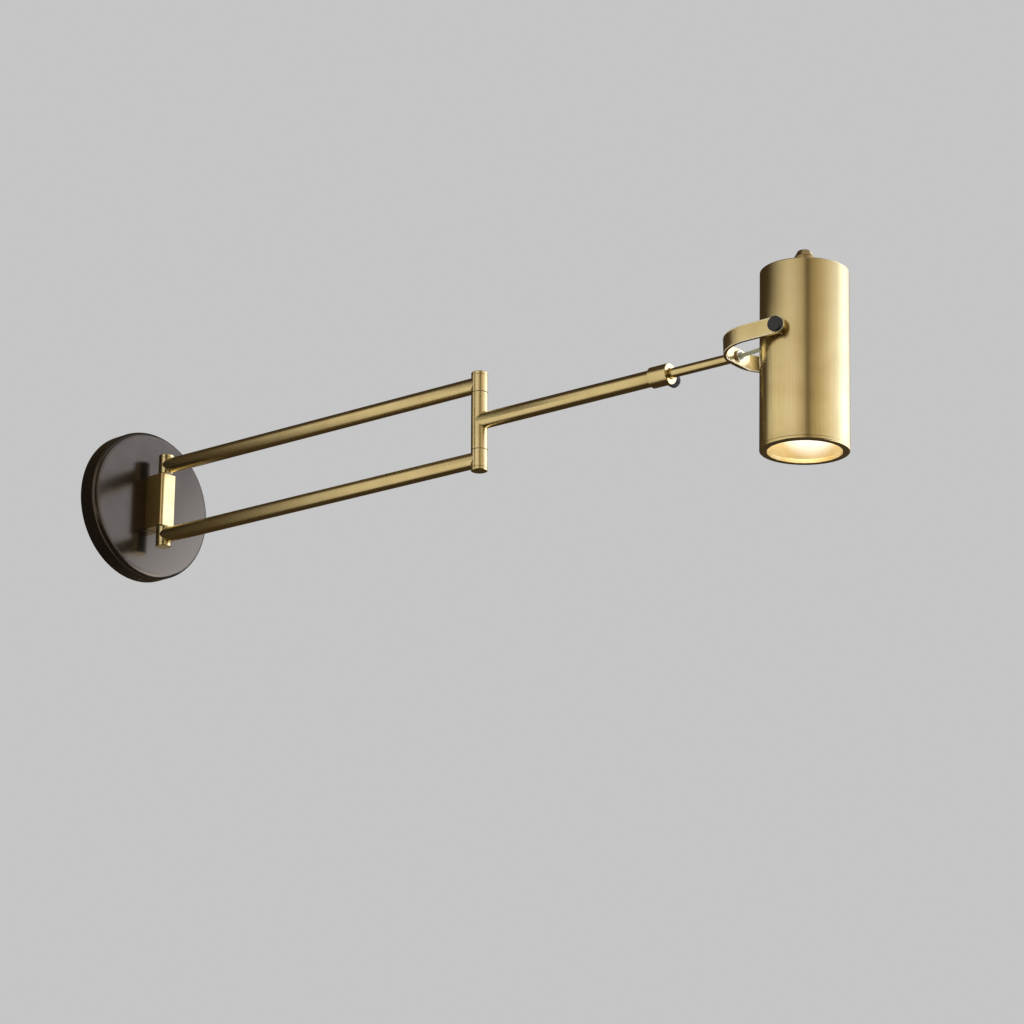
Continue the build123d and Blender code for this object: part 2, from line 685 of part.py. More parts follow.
# Lamp: a reflector lamp with a domed lens, a tapering body and two pins
with BuildPart() as bulb:
    lamp_radius = bulb_diameter / 2
    lens_edge = lamp_radius - bulb_lens_drop
    neck_radius = bulb_neck_diameter / 2
    with BuildSketch(upright(head)):
        with BuildLine():
            ThreePointArc(
                (-lens_edge, bulb_face + bulb_lens_drop),
                (0, bulb_face),
                (lens_edge, bulb_face + bulb_lens_drop),
            )
            Polyline(
                (lens_edge, bulb_face + bulb_lens_drop),
                (lamp_radius, bulb_face + 2 * bulb_lens_drop),
                (lamp_radius, bulb_face + bulb_rim_height),
                (neck_radius, holder_base - bulb_neck_height),
                (neck_radius, holder_base - free_play),
                (-neck_radius, holder_base - free_play),
                (-neck_radius, holder_base - bulb_neck_height),
                (-lamp_radius, bulb_face + bulb_rim_height),
                (-lamp_radius, bulb_face + 2 * bulb_lens_drop),
                (-lens_edge, bulb_face + bulb_lens_drop),
            )
        make_face()
        split(bisect_by=Plane.YZ)
    revolve(axis=head_axis)
    with BuildSketch(head.offset(holder_base - free_play)):
        with GridLocations(bulb_pin_spacing, 0, 2, 1):
            Circle(bulb_pin_diameter / 2)
    extrude(amount=bulb_pin_length + free_play)
bulb.part.label = "bulb"
export_step(bulb.part, "parts/bulb.step")

# Lamp holder, with sockets for the lamp's pins and threads for its screws
with BuildPart() as lamp_holder:
    with BuildSketch(head.offset(holder_base)):
        Circle(holder_diameter / 2)
    extrude(amount=holder_height)
    chamfer(lamp_holder.faces().sort_by(head_axis)[0].edges(), holder_edge)
    with BuildSketch(head.offset(holder_base)):
        with GridLocations(bulb_pin_spacing, 0, 2, 1):
            Circle(bulb_pin_diameter / 2 + running_play)
    extrude(amount=bulb_pin_length + free_play, mode=Mode.SUBTRACT)
    with BuildSketch(head.offset(bracket_base)):
        with GridLocations(0, holder_screw_spacing, 1, 2):
            Circle(holder_screw_diameter / 2 + press_play)
    extrude(amount=-holder_screw_bite, mode=Mode.SUBTRACT)
lamp_holder.part.label = "lamp_holder"
export_step(lamp_holder.part, "parts/lamp_holder.step")

# Bracket: a bent strip that hangs from the switch bushing and carries the lamp holder
leg_inside = switch_diameter / 2 + bracket_side_room
leg_outside = leg_inside + bracket_thickness
with BuildPart() as holder_bracket:
    with BuildSketch(sideways(head, 0, -bracket_width / 2)):
        with Locations(((bracket_base + bracket_top) / 2, 0)):
            Rectangle(bracket_top - bracket_base, 2 * leg_outside)
            Rectangle(bracket_top - bracket_base - 2 * bracket_thickness, 2 * leg_inside, mode=Mode.SUBTRACT)
    extrude(amount=bracket_width)
    with BuildSketch(head.offset(bracket_base)):
        RectangleRounded(bracket_width, holder_screw_spacing + bracket_width, bracket_width / 4)
    extrude(amount=bracket_thickness)
    with BuildSketch(head.offset(bracket_base)):
        with GridLocations(0, holder_screw_spacing, 1, 2):
            Circle(holder_screw_diameter / 2 + running_play)
    extrude(amount=bracket_thickness, mode=Mode.SUBTRACT)
    with BuildSketch(head.offset(bracket_top)):
        Circle(switch_bushing_diameter / 2 + running_play)
    extrude(amount=-bracket_thickness, mode=Mode.SUBTRACT)
holder_bracket.part.label = "holder_bracket"
export_step(holder_bracket.part, "parts/holder_bracket.step")

with BuildPart() as holder_screws:
    holder_screw_seat = bracket_base + bracket_thickness
    with BuildSketch(head.offset(holder_screw_seat)):
        with GridLocations(0, holder_screw_spacing, 1, 2):
            Circle(holder_screw_head / 2)
    extrude(amount=holder_screw_head_height)
    with BuildSketch(head.offset(holder_screw_seat)):
        with GridLocations(0, holder_screw_spacing, 1, 2):
            Circle(holder_screw_diameter / 2)
    extrude(amount=free_play - bracket_thickness - holder_screw_bite)
    with BuildSketch(head.offset(holder_screw_seat + holder_screw_head_height)):
        with GridLocations(0, holder_screw_spacing, 1, 2):
            Rectangle(holder_screw_head, holder_screw_head / 6)
    extrude(amount=-holder_screw_head_height / 2, mode=Mode.SUBTRACT)
holder_screws.part.label = "holder_screws"
export_step(holder_screws.part, "parts/holder_screws.step")

# Pivots: a boss through each side of the shell, a friction washer and a flat round screw
boss_face = head_radius + pivot_boss_height
with BuildPart() as pivot_bosses:
    with BuildSketch(sideways(head, 0)):
        Circle(pivot_boss_diameter / 2)
    extrude(amount=boss_face)
    with Locations(head):
        Cylinder(head_radius, 2 * pivot_to_bottom, mode=Mode.SUBTRACT)
    with BuildSketch(sideways(head, 0, shell_inner_radius - pivot_boss_depth)):
        Circle(pivot_boss_neck / 2)
    extrude(amount=boss_face - shell_inner_radius + pivot_boss_depth)
    with BuildSketch(sideways(head, 0)):
        Circle(pivot_screw_diameter / 2 + press_play)
    extrude(amount=boss_face, mode=Mode.SUBTRACT)
    mirror(about=upright(head))
pivot_bosses.part.label = "pivot_bosses"
export_step(pivot_bosses.part, "parts/pivot_bosses.step")

with BuildPart() as friction_washers:
    with BuildSketch(sideways(head, 0, boss_face + running_play)):
        Circle(pivot_boss_diameter / 2)
        Circle(pivot_screw_diameter / 2 + running_play, mode=Mode.SUBTRACT)
    extrude(amount=friction_washer_thickness)
    mirror(about=upright(head))
friction_washers.part.label = "friction_washers"
export_step(friction_washers.part, "parts/friction_washers.step")

pivot_screw_tip = shell_inner_radius - pivot_boss_depth
with BuildPart() as pivot_screws:
    with BuildSketch(sideways(head, 0, yoke_outer + running_play)):
        Circle(pivot_screw_head / 2)
    extrude(amount=pivot_screw_head_height)
    fillet(pivot_screws.faces().sort_by(Axis(head.origin, head.y_dir))[-1].edges(), pivot_screw_edge)
    with BuildSketch(sideways(head, 0, pivot_screw_tip)):
        Circle(pivot_screw_diameter / 2)
    extrude(amount=yoke_outer + running_play - pivot_screw_tip)
    mirror(about=upright(head))
pivot_screws.part.label = "pivot_screws"
export_step(pivot_screws.part, "parts/pivot_screws.step")

# Grommet in the back of the shell, with a lip outside and a lip inside
grommet_inside = sqrt(shell_inner_radius**2 - (grommet_flange / 2) ** 2)
with BuildPart() as flex_grommet:
    with BuildSketch(across(head, -head_radius - grommet_lip)):
        Circle(grommet_flange / 2)
    extrude(amount=grommet_lip)
    with BuildSketch(across(head, -grommet_inside)):
        Circle(grommet_flange / 2)
    extrude(amount=grommet_lip)
    with BuildSketch(across(head, -head_radius)):
        Circle(grommet_neck / 2)
    extrude(amount=head_radius - grommet_inside)
    with BuildSketch(across(head, -head_radius - grommet_lip)):
        Circle(flex_diameter / 2 + flex_play)
    extrude(amount=head_radius, mode=Mode.SUBTRACT)
flex_grommet.part.label = "flex_grommet"
export_step(flex_grommet.part, "parts/flex_grommet.step")

# Rotary switch under the top plate, its threaded bushing up through bracket and plate, and its nut
switch_top = bracket_top - bracket_thickness
bushing_top = pivot_to_top + switch_nut_height
with BuildPart() as switch_body:
    with BuildSketch(head.offset(switch_top)):
        Circle(switch_diameter / 2)
    extrude(amount=-switch_height)
    with BuildSketch(head.offset(switch_top)):
        Circle(switch_bushing_diameter / 2)
    extrude(amount=bushing_top - switch_top)
    with BuildSketch(head.offset(bushing_top)):
        Circle(switch_shaft_diameter / 2 + running_play)
    extrude(amount=-switch_shaft_depth - free_play, mode=Mode.SUBTRACT)
switch_body.part.label = "switch_body"
export_step(switch_body.part, "parts/switch_body.step")

with BuildPart() as switch_nut:
    with BuildSketch(head.offset(pivot_to_top)):
        RegularPolygon(switch_nut_diameter / 2, 6, major_radius=False)
        Circle(switch_bushing_diameter / 2 + press_play, mode=Mode.SUBTRACT)
    extrude(amount=switch_nut_height)
switch_nut.part.label = "switch_nut"
export_step(switch_nut.part, "parts/switch_nut.step")

# Switch knob: a fluted skirt under a tapered crown, on a shaft down into the bushing
knob_shoulder = knob_base + knob_skirt_height
with BuildPart() as switch_knob:
    with BuildSketch(head.offset(knob_base)):
        Circle(knob_skirt_diameter / 2)
        with PolarLocations(knob_skirt_diameter / 2, knob_flutes):
            Circle(knob_flute_radius, mode=Mode.SUBTRACT)
    extrude(amount=knob_skirt_height)
    with BuildSketch(head.offset(knob_shoulder)):
        Circle(knob_skirt_diameter / 2)
    with BuildSketch(head.offset(knob_shoulder + knob_top_height)):
        Circle(knob_top_diameter / 2)
    loft(ruled=True)
    fillet(switch_knob.faces().sort_by(head_axis)[-1].edges(), knob_edge)
    with BuildSketch(head.offset(knob_base)):
        Circle(switch_shaft_diameter / 2)
    extrude(amount=bushing_top - knob_base - switch_shaft_depth)
switch_knob.part.label = "switch_knob"
export_step(switch_knob.part, "parts/switch_knob.step")
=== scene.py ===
"""Swing arm wall lamp: finishes, small added pieces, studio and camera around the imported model."""

import json
import logging
import math
from abc import ABC, abstractmethod
from dataclasses import dataclass
from enum import Enum
from typing import Any, Mapping, Optional, Sequence, Union

import bpy
import numpy as np
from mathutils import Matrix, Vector


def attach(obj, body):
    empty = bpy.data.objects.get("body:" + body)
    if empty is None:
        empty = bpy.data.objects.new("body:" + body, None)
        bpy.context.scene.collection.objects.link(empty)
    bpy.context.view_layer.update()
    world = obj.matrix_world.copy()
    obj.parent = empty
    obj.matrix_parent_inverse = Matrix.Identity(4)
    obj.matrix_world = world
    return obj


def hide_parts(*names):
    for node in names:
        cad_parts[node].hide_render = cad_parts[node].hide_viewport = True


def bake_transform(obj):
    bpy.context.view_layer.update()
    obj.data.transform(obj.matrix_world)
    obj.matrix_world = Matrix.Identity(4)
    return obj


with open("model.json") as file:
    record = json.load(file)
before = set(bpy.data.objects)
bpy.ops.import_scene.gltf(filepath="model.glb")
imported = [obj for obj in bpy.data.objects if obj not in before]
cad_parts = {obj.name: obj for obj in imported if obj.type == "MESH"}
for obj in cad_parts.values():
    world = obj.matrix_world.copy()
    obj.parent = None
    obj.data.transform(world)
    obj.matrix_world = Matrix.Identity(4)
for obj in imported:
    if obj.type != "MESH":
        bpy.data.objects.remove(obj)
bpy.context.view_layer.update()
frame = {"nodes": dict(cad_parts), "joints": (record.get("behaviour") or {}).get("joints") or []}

LOG = logging.getLogger("swing_arm_lamp")
MM = 0.001
FULL_TURN = 2 * math.pi
NOISE_MIDDLE = 0.5
UP = np.array((0.0, 0.0, 1.0))
PRINCIPLED = "ShaderNodeBsdfPrincipled"
EMISSION = "ShaderNodeEmission"

Triple = tuple[float, float, float]
Colour = Triple
Range = tuple[float, float]
Stops = Sequence[tuple[float, Colour]]
Number = Union[int, float, "Value"]


def triple(values: Sequence[float]) -> Triple:
    """Three numbers as a plain tuple."""
    x, y, z = (float(value) for value in values)
    return x, y, z


def round_angles(count: int) -> np.ndarray:
    """Equal angles once round a circle, in radians."""
    return np.linspace(0.0, FULL_TURN, count, endpoint=False)


class Value:
    """A shader socket that adds a Math node for each operator used on it."""

    def __init__(self, graph: "Graph", socket: bpy.types.NodeSocket) -> None:
        """Keeps the graph that the socket belongs to and the socket."""
        self.graph = graph
        self.socket = socket

    def math(self, operation: str, *others: Number) -> "Value":
        """One Math node whose first operand is the value."""
        operands = dict(enumerate((self, *others)))
        return self.graph.node("ShaderNodeMath", {"operation": operation}, operands)

    def _reflected(self, operation: str, first: Number) -> "Value":
        """One Math node whose first operand is a plain number."""
        return self.graph.node("ShaderNodeMath", {"operation": operation}, {0: first, 1: self})

    def __add__(self, other: Number) -> "Value":
        """Sum of two values."""
        return self.math("ADD", other)

    def __sub__(self, other: Number) -> "Value":
        """Difference of two values."""
        return self.math("SUBTRACT", other)

    def __mul__(self, other: Number) -> "Value":
        """Product of two values."""
        return self.math("MULTIPLY", other)

    def __truediv__(self, other: Number) -> "Value":
        """Quotient of two values."""
        return self.math("DIVIDE", other)

    def __pow__(self, other: Number) -> "Value":
        """Power of a value."""
        return self.math("POWER", other)

    def __radd__(self, other: Number) -> "Value":
        """A number plus a value."""
        return self._reflected("ADD", other)

    def __rsub__(self, other: Number) -> "Value":
        """A number minus a value."""
        return self._reflected("SUBTRACT", other)

    def __rmul__(self, other: Number) -> "Value":
        """A number times a value."""
        return self._reflected("MULTIPLY", other)

    def __rtruediv__(self, other: Number) -> "Value":
        """A number over a value."""
        return self._reflected("DIVIDE", other)

    def __rpow__(self, other: Number) -> "Value":
        """A number to the power of a value."""
        return self._reflected("POWER", other)

    def hypot(self, other: "Value") -> "Value":
        """The length whose square is the sum of both squares."""
        return (self * self + other * other) ** 0.5

    def step(self, low: float, high: float) -> "Value":
        """A smooth step from 0 at low to 1 at high, or back where high is below low."""
        limits = {"Value": self, "From Min": low, "From Max": high}
        return self.graph.node("ShaderNodeMapRange", {"interpolation_type": "SMOOTHSTEP"}, limits)


class Graph:
    """The nodes of one material."""

    MIX_COLOURS = (6, 7)
    MIX_RESULT = 2
    NUMBER_RESULTS = ("DISTANCE", "DOT_PRODUCT", "LENGTH")

    def __init__(self, name: str) -> None:
        """Makes an empty material of that name."""
        self.material = bpy.data.materials.new(name)
        self.material.use_nodes = True
        self.tree = self.material.node_tree
        self.tree.nodes.clear()

    def node(
        self,
        kind: str,
        settings: Optional[Mapping[str, Any]] = None,
        sockets: Optional[Mapping[Any, Any]] = None,
        output: Union[int, str] = 0,
    ) -> Value:
        """Adds a node.

        Args:
            kind: the node's type.
            settings: its properties, set first; "stops" are a ramp's, as position and colour.
            sockets: numbers, colours or links for its inputs, by name or index.
            output: the name or index of the output that is wanted.

        Returns:
            That output.
        """
        made = self.tree.nodes.new(kind)
        for key, setting in (settings or {}).items():
            if key == "stops":
                ramp = made.color_ramp.elements
                while len(ramp) < len(setting):
                    ramp.new(1.0)
                for stop, (position, colour) in zip(ramp, setting):
                    stop.position = position
                    stop.color = (*colour, 1.0)
            else:
                setattr(made, key, setting)
        for key, given in (sockets or {}).items():
            if isinstance(given, Value):
                self.tree.links.new(given.socket, made.inputs[key])
            else:
                made.inputs[key].default_value = given
        return Value(self, made.outputs[output])

    def place(self) -> Value:
        """The piece's own coordinates, in metres."""
        return self.node("ShaderNodeTexCoord", output="Object")

    def uv(self) -> tuple[Value, Value]:
        """How far along its rows and its columns a grid's surface is, each from 0 to 1."""
        return self.parts(self.node("ShaderNodeTexCoord", output="UV"))[:2]

    def vector(self, operation: str, *operands: Any) -> Value:
        """Adds one Vector Math node.

        Args:
            operation: the node's operation.
            operands: vectors or links to them.

        Returns:
            A number for a distance, a dot product or a length, and otherwise a vector.
        """
        output = "Value" if operation in self.NUMBER_RESULTS else "Vector"
        sockets = dict(enumerate(operands))
        return self.node("ShaderNodeVectorMath", {"operation": operation}, sockets, output)

    def stretched(self, along: Sequence[float], length: float, width: float) -> Value:
        """Coordinates for streaks along a direction.

        Args:
            along: the streaks' direction.
            length: how long a streak is, in metres.
            width: how wide a streak is, in metres.

        Returns:
            Coordinates that run by 1 over a streak's length and over its width.
        """
        turn = Vector((1.0, 0.0, 0.0)).rotation_difference(Vector(along)).to_euler()
        sockets = {"Vector": self.place(), "Rotation": turn, "Scale": (length, width, width)}
        return self.node("ShaderNodeMapping", {"vector_type": "TEXTURE"}, sockets)

    def noise(
        self, where: Value, scale: float = 1.0, detail: float = 2.0, rough: float = 0.5
    ) -> Value:
        """Noise from 0 to 1 with scale lumps per unit, detail octaves and rough their strength."""
        sockets = {"Vector": where, "Scale": scale, "Detail": detail, "Roughness": rough}
        return self.node("ShaderNodeTexNoise", None, sockets, "Fac")

    def uneven(self, level: float, *swings: tuple[float, Value]) -> Number:
        """A level that noises swing about.

        Args:
            level: the level where each noise is at its middle.
            swings: how far each noise swings the level, and the noise.

        Returns:
            The uneven level.
        """
        total: Number = level
        for swing, noise in swings:
            total = total + swing * (noise - NOISE_MIDDLE)
        return total

    def parts(self, where: Value) -> tuple[Value, Value, Value]:
        """Takes a vector apart.

        Args:
            where: a link to the vector.

        Returns:
            Its three components.
        """
        first = self.node("ShaderNodeSeparateXYZ", None, {0: where})
        outputs = first.socket.node.outputs
        return first, Value(self, outputs[1]), Value(self, outputs[2])

    def mix(self, share: Number, first: Any, second: Any) -> Value:
        """A colour between two colours.

        Args:
            share: 0 for the first colour, 1 for the second.
            first: a colour or a link to one.
            second: a colour or a link to one.

        Returns:
            The mixed colour.
        """
        colours = [(*c, 1.0) if isinstance(c, tuple) else c for c in (first, second)]
        sockets = {"Factor": share, **dict(zip(self.MIX_COLOURS, colours))}
        return self.node("ShaderNodeMix", {"data_type": "RGBA"}, sockets, self.MIX_RESULT)

    def occlusion(self, reach: float, samples: int = 6) -> Value:
        """How open the surface is within a distance: 1 on open faces, near 0 deep in a corner."""
        sockets = {"Distance": reach}
        return self.node("ShaderNodeAmbientOcclusion", {"samples": samples}, sockets, "AO")

    def bump(self, height: Value, depth: float) -> Value:
        """A normal bent by a height, of which 1 is as deep as given, in metres."""
        return self.node("ShaderNodeBump", None, {"Height": height, "Distance": depth}, "Normal")

    def finish(self, shader: str, **sockets: Any) -> bpy.types.Material:
        """Adds the last shader and the output.

        Args:
            shader: the shader node's type.
            sockets: its inputs, with _ for each space in a name.

        Returns:
            The material.
        """
        named = {}
        for key, given in sockets.items():
            is_colour = isinstance(given, tuple) and len(given) == 3
            named[key.replace("_", " ")] = (*given, 1.0) if is_colour else given
        self.node_output(self.node(shader, None, named))
        return self.material

    def node_output(self, surface: Value) -> None:
        """Links a shader to a new material output."""
        made = self.tree.nodes.new("ShaderNodeOutputMaterial")
        self.tree.links.new(surface.socket, made.inputs["Surface"])


@dataclass(frozen=True)
class Beside:
    """The faces past a distance to either side of the lamp's upright middle plane."""

    past: float
    blur: float = 0.3 * MM

    def share(self, graph: Graph) -> Value:
        """1 on those faces and 0 elsewhere."""
        across = graph.parts(graph.place())[0].math("ABSOLUTE")
        return across.step(self.past - self.blur, self.past)


@dataclass(frozen=True)
class NearAxis:
    """The faces within a distance of a straight line."""

    point: Triple
    along: Triple
    within: float
    blur: float = 0.2 * MM

    def share(self, graph: Graph) -> Value:
        """Measures the distance as the length of the cross product with the line's direction.

        Args:
            graph: the material's nodes.

        Returns:
            1 on those faces and 0 elsewhere.
        """
        away = graph.vector("SUBTRACT", graph.place(), self.point)
        distance = graph.vector("LENGTH", graph.vector("CROSS_PRODUCT", away, self.along))
        return distance.step(self.within + self.blur, self.within)


@dataclass(frozen=True)
class NearPoint:
    """The surface about a point, fading from one distance to a larger one."""

    point: Triple
    near: float
    far: float

    def share(self, graph: Graph) -> Value:
        """1 within the near distance and 0 past the far one."""
        return graph.vector("DISTANCE", graph.place(), self.point).step(self.far, self.near)


@dataclass(frozen=True)
class Along:
    """A change along a direction, from low to high as measured from a point."""

    point: Triple
    along: Triple
    low: float
    high: float

    def share(self, graph: Graph) -> Value:
        """0 up to low and 1 past high."""
        away = graph.vector("SUBTRACT", graph.place(), self.point)
        return graph.vector("DOT_PRODUCT", away, self.along).step(self.low, self.high)


@dataclass(frozen=True)
class StripEdgeHighlight:
    """A painted highlight on the broken edge of a level strip with a round end: a band about the
    strip's middle line.
    """

    end: Triple
    along: Triple
    inner: float
    outer: float
    inner_blur: float = 0.3 * MM
    outer_blur: float = 0.05 * MM

    def share(self, graph: Graph) -> Value:
        """Measures the distance from the middle line, which stops at the round end's centre.

        Args:
            graph: the material's nodes.

        Returns:
            1 between the inner and the outer distance and 0 elsewhere.
        """
        away = graph.vector("SUBTRACT", graph.place(), self.end)
        past = graph.vector("DOT_PRODUCT", away, self.along).math("MAXIMUM", 0.0)
        distance = past.hypot(graph.parts(away)[2])
        outside = distance.step(self.inner - self.inner_blur, self.inner)
        return outside * distance.step(self.outer + self.outer_blur, self.outer)


@dataclass(frozen=True)
class LevelLine:
    """A thin level line at one height above the lamp's middle and the same height below it."""

    height: float
    width: float

    def share(self, graph: Graph) -> Value:
        """1 on the line's middle and 0 past half its width."""
        away = (graph.parts(graph.place())[2].math("ABSOLUTE") - self.height).math("ABSOLUTE")
        return away.step(self.width / 2, self.width / 4)


Region = Union[Beside, NearAxis, NearPoint, Along, StripEdgeHighlight, LevelLine]


@dataclass(frozen=True)
class Brass:
    """Aged brass under satin lacquer, brushed one way, with patina and painted shade in its corners.
    """

    name: str
    along: Triple
    clean: Colour = (0.66, 0.535, 0.27)
    aged: Colour = (0.56, 0.43, 0.195)
    # Colour of the patina and the painted shade in corners and close to other parts.
    dark: Colour = (0.10, 0.062, 0.022)
    roughness: float = 0.24
    streak: Range = (60 * MM, 0.35 * MM)
    streak_age: float = 0.6
    streak_gloss: float = 0.08
    cloud: float = 18 * MM
    cloud_age: float = 0.7
    cloud_gloss: float = 0.06
    age_limits: Range = (0.45, 0.95)
    patina_and_shade_reach: float = 1.5 * MM
    patina_and_shade_limits: Range = (0.6, 0.1)
    scratch_depth: float = 0.005 * MM
    patch: Optional[Region] = None
    patch_colour: Colour = (0.78, 0.53, 0.19)
    patch_dull: float = 0.0

    def build(self) -> bpy.types.Material:
        """Clouds of age and streaks along the grain change colour and gloss, and corners and faces
        close to other parts are darkened by occlusion, as patina and painted shade.

        Where a patch is given, its faces take the patch colour and are duller by patch_dull.

        Returns:
            The material.
        """
        graph = Graph(self.name)
        streaks = graph.noise(graph.stretched(self.along, *self.streak), detail=4.0, rough=0.6)
        clouds = graph.noise(graph.place(), 1 / self.cloud, detail=3.0)
        age = (self.cloud_age * clouds + self.streak_age * streaks).step(*self.age_limits)
        metal = graph.mix(age, self.clean, self.aged)
        swings = (self.streak_gloss, streaks), (self.cloud_gloss, clouds)
        rough = graph.uneven(self.roughness, *swings)
        if self.patch is not None:
            share = self.patch.share(graph)
            metal = graph.mix(share, metal, self.patch_colour)
            rough = rough + self.patch_dull * share
        # Patina and painted shade: occlusion darkens corners and faces that lie close to other
        # parts.
        patina_and_painted_shade = graph.occlusion(self.patina_and_shade_reach).step(*self.patina_and_shade_limits)
        return graph.finish(
            PRINCIPLED,
            Base_Color=graph.mix(patina_and_painted_shade, metal, self.dark),
            Roughness=rough,
            Metallic=1.0,
            Normal=graph.bump(streaks, self.scratch_depth),
        )


@dataclass(frozen=True)
class Bronze:
    """Dark satin bronze, spun, so that its marks run round the plate's middle."""

    name: str
    worn: Colour = (0.070, 0.056, 0.041)
    dark: Colour = (0.044, 0.036, 0.027)
    rubbed_and_highlight: Colour = (0.26, 0.205, 0.14)
    pale: Colour = (0.108, 0.090, 0.068)
    painted_light_reach: float = 95 * MM
    roughness: float = 0.19
    metallic: float = 0.85
    ring: float = 0.5 * MM
    ring_wear: float = 0.4
    ring_gloss: float = 0.06
    cloud: float = 30 * MM
    cloud_wear: float = 0.6
    cloud_gloss: float = 0.04
    wear_limits: Range = (0.2, 0.8)
    mark_depth: float = 0.006 * MM
    corner_depth: float = -14.5 * MM
    corner_width: float = 0.8 * MM
    crease_radius: float = 59.3 * MM
    crease_width: float = 0.7 * MM
    crease_depth: float = 0.12 * MM

    def build(self) -> bpy.types.Material:
        """Rings of noise by radius for the spinning marks, with clouds of wear in the dark colour.

        Painted light makes the plate paler towards the lower right. A line at the rim's front
        corner, by its depth, is rubbed through to the metal and painted lighter as a highlight. A
        fine crease, by its radius, runs round the face where the edge's curve begins.

        Returns:
            The material.
        """
        graph = Graph(self.name)
        place = graph.place()
        across, depth, upward = graph.parts(place)
        radius = across.hypot(upward)
        by_ring = {0: radius / self.ring, 1: depth / self.ring}
        ring_place = graph.node("ShaderNodeCombineXYZ", None, by_ring)
        rings = graph.noise(ring_place, detail=3.0, rough=0.6)
        clouds = graph.noise(place, 1 / self.cloud, detail=4.0, rough=0.6)
        wear = (self.cloud_wear * clouds + self.ring_wear * rings).step(*self.wear_limits)
        # Rubbed wear and painted highlight: a lighter line at the rim's front corner.
        corner = (depth - self.corner_depth).math("ABSOLUTE").step(self.corner_width, 0.0)
        # Painted light: the plate grows paler towards the lower right.
        pale = (across - upward).step(0.0, self.painted_light_reach)
        worn = graph.mix(pale, graph.mix(wear, self.dark, self.worn), self.pale)
        swings = (self.ring_gloss, rings), (self.cloud_gloss, clouds)
        crease = (radius - self.crease_radius).math("ABSOLUTE").step(self.crease_width, 0.0)
        height = rings * (self.mark_depth / self.crease_depth) - crease
        return graph.finish(
            PRINCIPLED,
            Base_Color=graph.mix(corner, worn, self.rubbed_and_highlight),
            Roughness=graph.uneven(self.roughness, *swings),
            Metallic=self.metallic,
            Normal=graph.bump(height, self.crease_depth),
        )


@dataclass(frozen=True)
class Speckled:
    """A plain finish with fine specks and soft clouds, as of steel, enamel, nylon or rubber."""

    name: str
    colour: Colour
    shade: Colour
    roughness: float
    metallic: float = 0.0
    coat: float = 0.0
    speck: float = 0.6 * MM
    speck_share: float = 0.4
    speck_gloss: float = 0.16
    speck_depth: float = 0.01 * MM
    cloud: float = 9 * MM
    cloud_share: float = 0.6
    cloud_gloss: float = 0.08
    blend_limits: Range = (0.3, 0.7)
    patch: Optional[Region] = None
    patch_colour: Colour = (0.96, 0.97, 0.95)

    def build(self) -> bpy.types.Material:
        """Clouds and specks of noise mix the two colours, and the specks also roughen and dent.

        Where a patch is given, its faces take the patch colour.

        Returns:
            The material.
        """
        graph = Graph(self.name)
        place = graph.place()
        specks = graph.noise(place, 1 / self.speck)
        clouds = graph.noise(place, 1 / self.cloud, detail=3.0)
        blend = (self.speck_share * specks + self.cloud_share * clouds).step(*self.blend_limits)
        colour = graph.mix(blend, self.shade, self.colour)
        if self.patch is not None:
            colour = graph.mix(self.patch.share(graph), colour, self.patch_colour)
        swings = (self.speck_gloss, specks), (self.cloud_gloss, clouds)
        return graph.finish(
            PRINCIPLED,
            Base_Color=colour,
            Roughness=graph.uneven(self.roughness, *swings),
            Metallic=self.metallic,
            Coat_Weight=self.coat,
            Normal=graph.bump(specks, self.speck_depth),
        )


@dataclass(frozen=True)
class LampGlass:
    """The lamp's frosted lens, lit from inside, with a pebbled face."""

    name: str
    centre: Triple
    glass: Colour = (0.93, 0.90, 0.82)
    heart: Colour = (1.0, 0.98, 0.93)
    rim: Colour = (1.0, 0.87, 0.66)
    strength: float = 2.3
    heart_radius: float = 7 * MM
    rim_radius: float = 25 * MM
    roughness: float = 0.45
    pebble: float = 2.2 * MM
    pebble_gloss: float = 0.2
    pebble_depth: float = 0.2 * MM

    def build(self) -> bpy.types.Material:
        """The glow is whitest about the lens's middle and amber towards its rim, by distance.

        Returns:
            The material.
        """
        graph = Graph(self.name)
        place = graph.place()
        away = graph.vector("DISTANCE", place, self.centre)
        glow = graph.mix(away.step(self.heart_radius, self.rim_radius), self.heart, self.rim)
        sockets = {"Vector": place, "Scale": 1 / self.pebble}
        pebbles = graph.node("ShaderNodeTexVoronoi", {"feature": "SMOOTH_F1"}, sockets)
        return graph.finish(
            PRINCIPLED,
            Base_Color=self.glass,
            Roughness=graph.uneven(self.roughness, (self.pebble_gloss, pebbles)),
            Emission_Color=glow,
            Emission_Strength=self.strength,
            Normal=graph.bump(pebbles, self.pebble_depth),
        )


@dataclass(frozen=True)
class FlexJacket:
    """Olive grey cord jacket that shows the twist of the strands under it, by its own UV map."""

    name: str
    ridge: Colour = (0.62, 0.63, 0.44)
    valley: Colour = (0.46, 0.46, 0.30)
    strands: int = 5
    twists: float = 2.0
    twist_share: float = 0.65
    twist_depth: float = 0.06 * MM
    grime: float = 1.5 * MM
    grime_share: float = 0.35
    grime_gloss: float = 0.15
    roughness: float = 0.36
    coat: float = 0.15

    def build(self) -> bpy.types.Material:
        """A wave round and along the tube, as of twisted strands, colours and dents the jacket.

        Returns:
            The material.
        """
        graph = Graph(self.name)
        along, round_it = graph.uv()
        turn = (round_it * self.strands + along * self.twists) * FULL_TURN
        twist = 0.5 + 0.5 * turn.math("SINE")
        grime = graph.noise(graph.place(), 1 / self.grime, detail=3.0)
        share = self.twist_share * twist + self.grime_share * grime
        return graph.finish(
            PRINCIPLED,
            Base_Color=graph.mix(share, self.valley, self.ridge),
            Roughness=graph.uneven(self.roughness, (self.grime_gloss, grime)),
            Coat_Weight=self.coat,
            Normal=graph.bump(twist, self.twist_depth),
        )


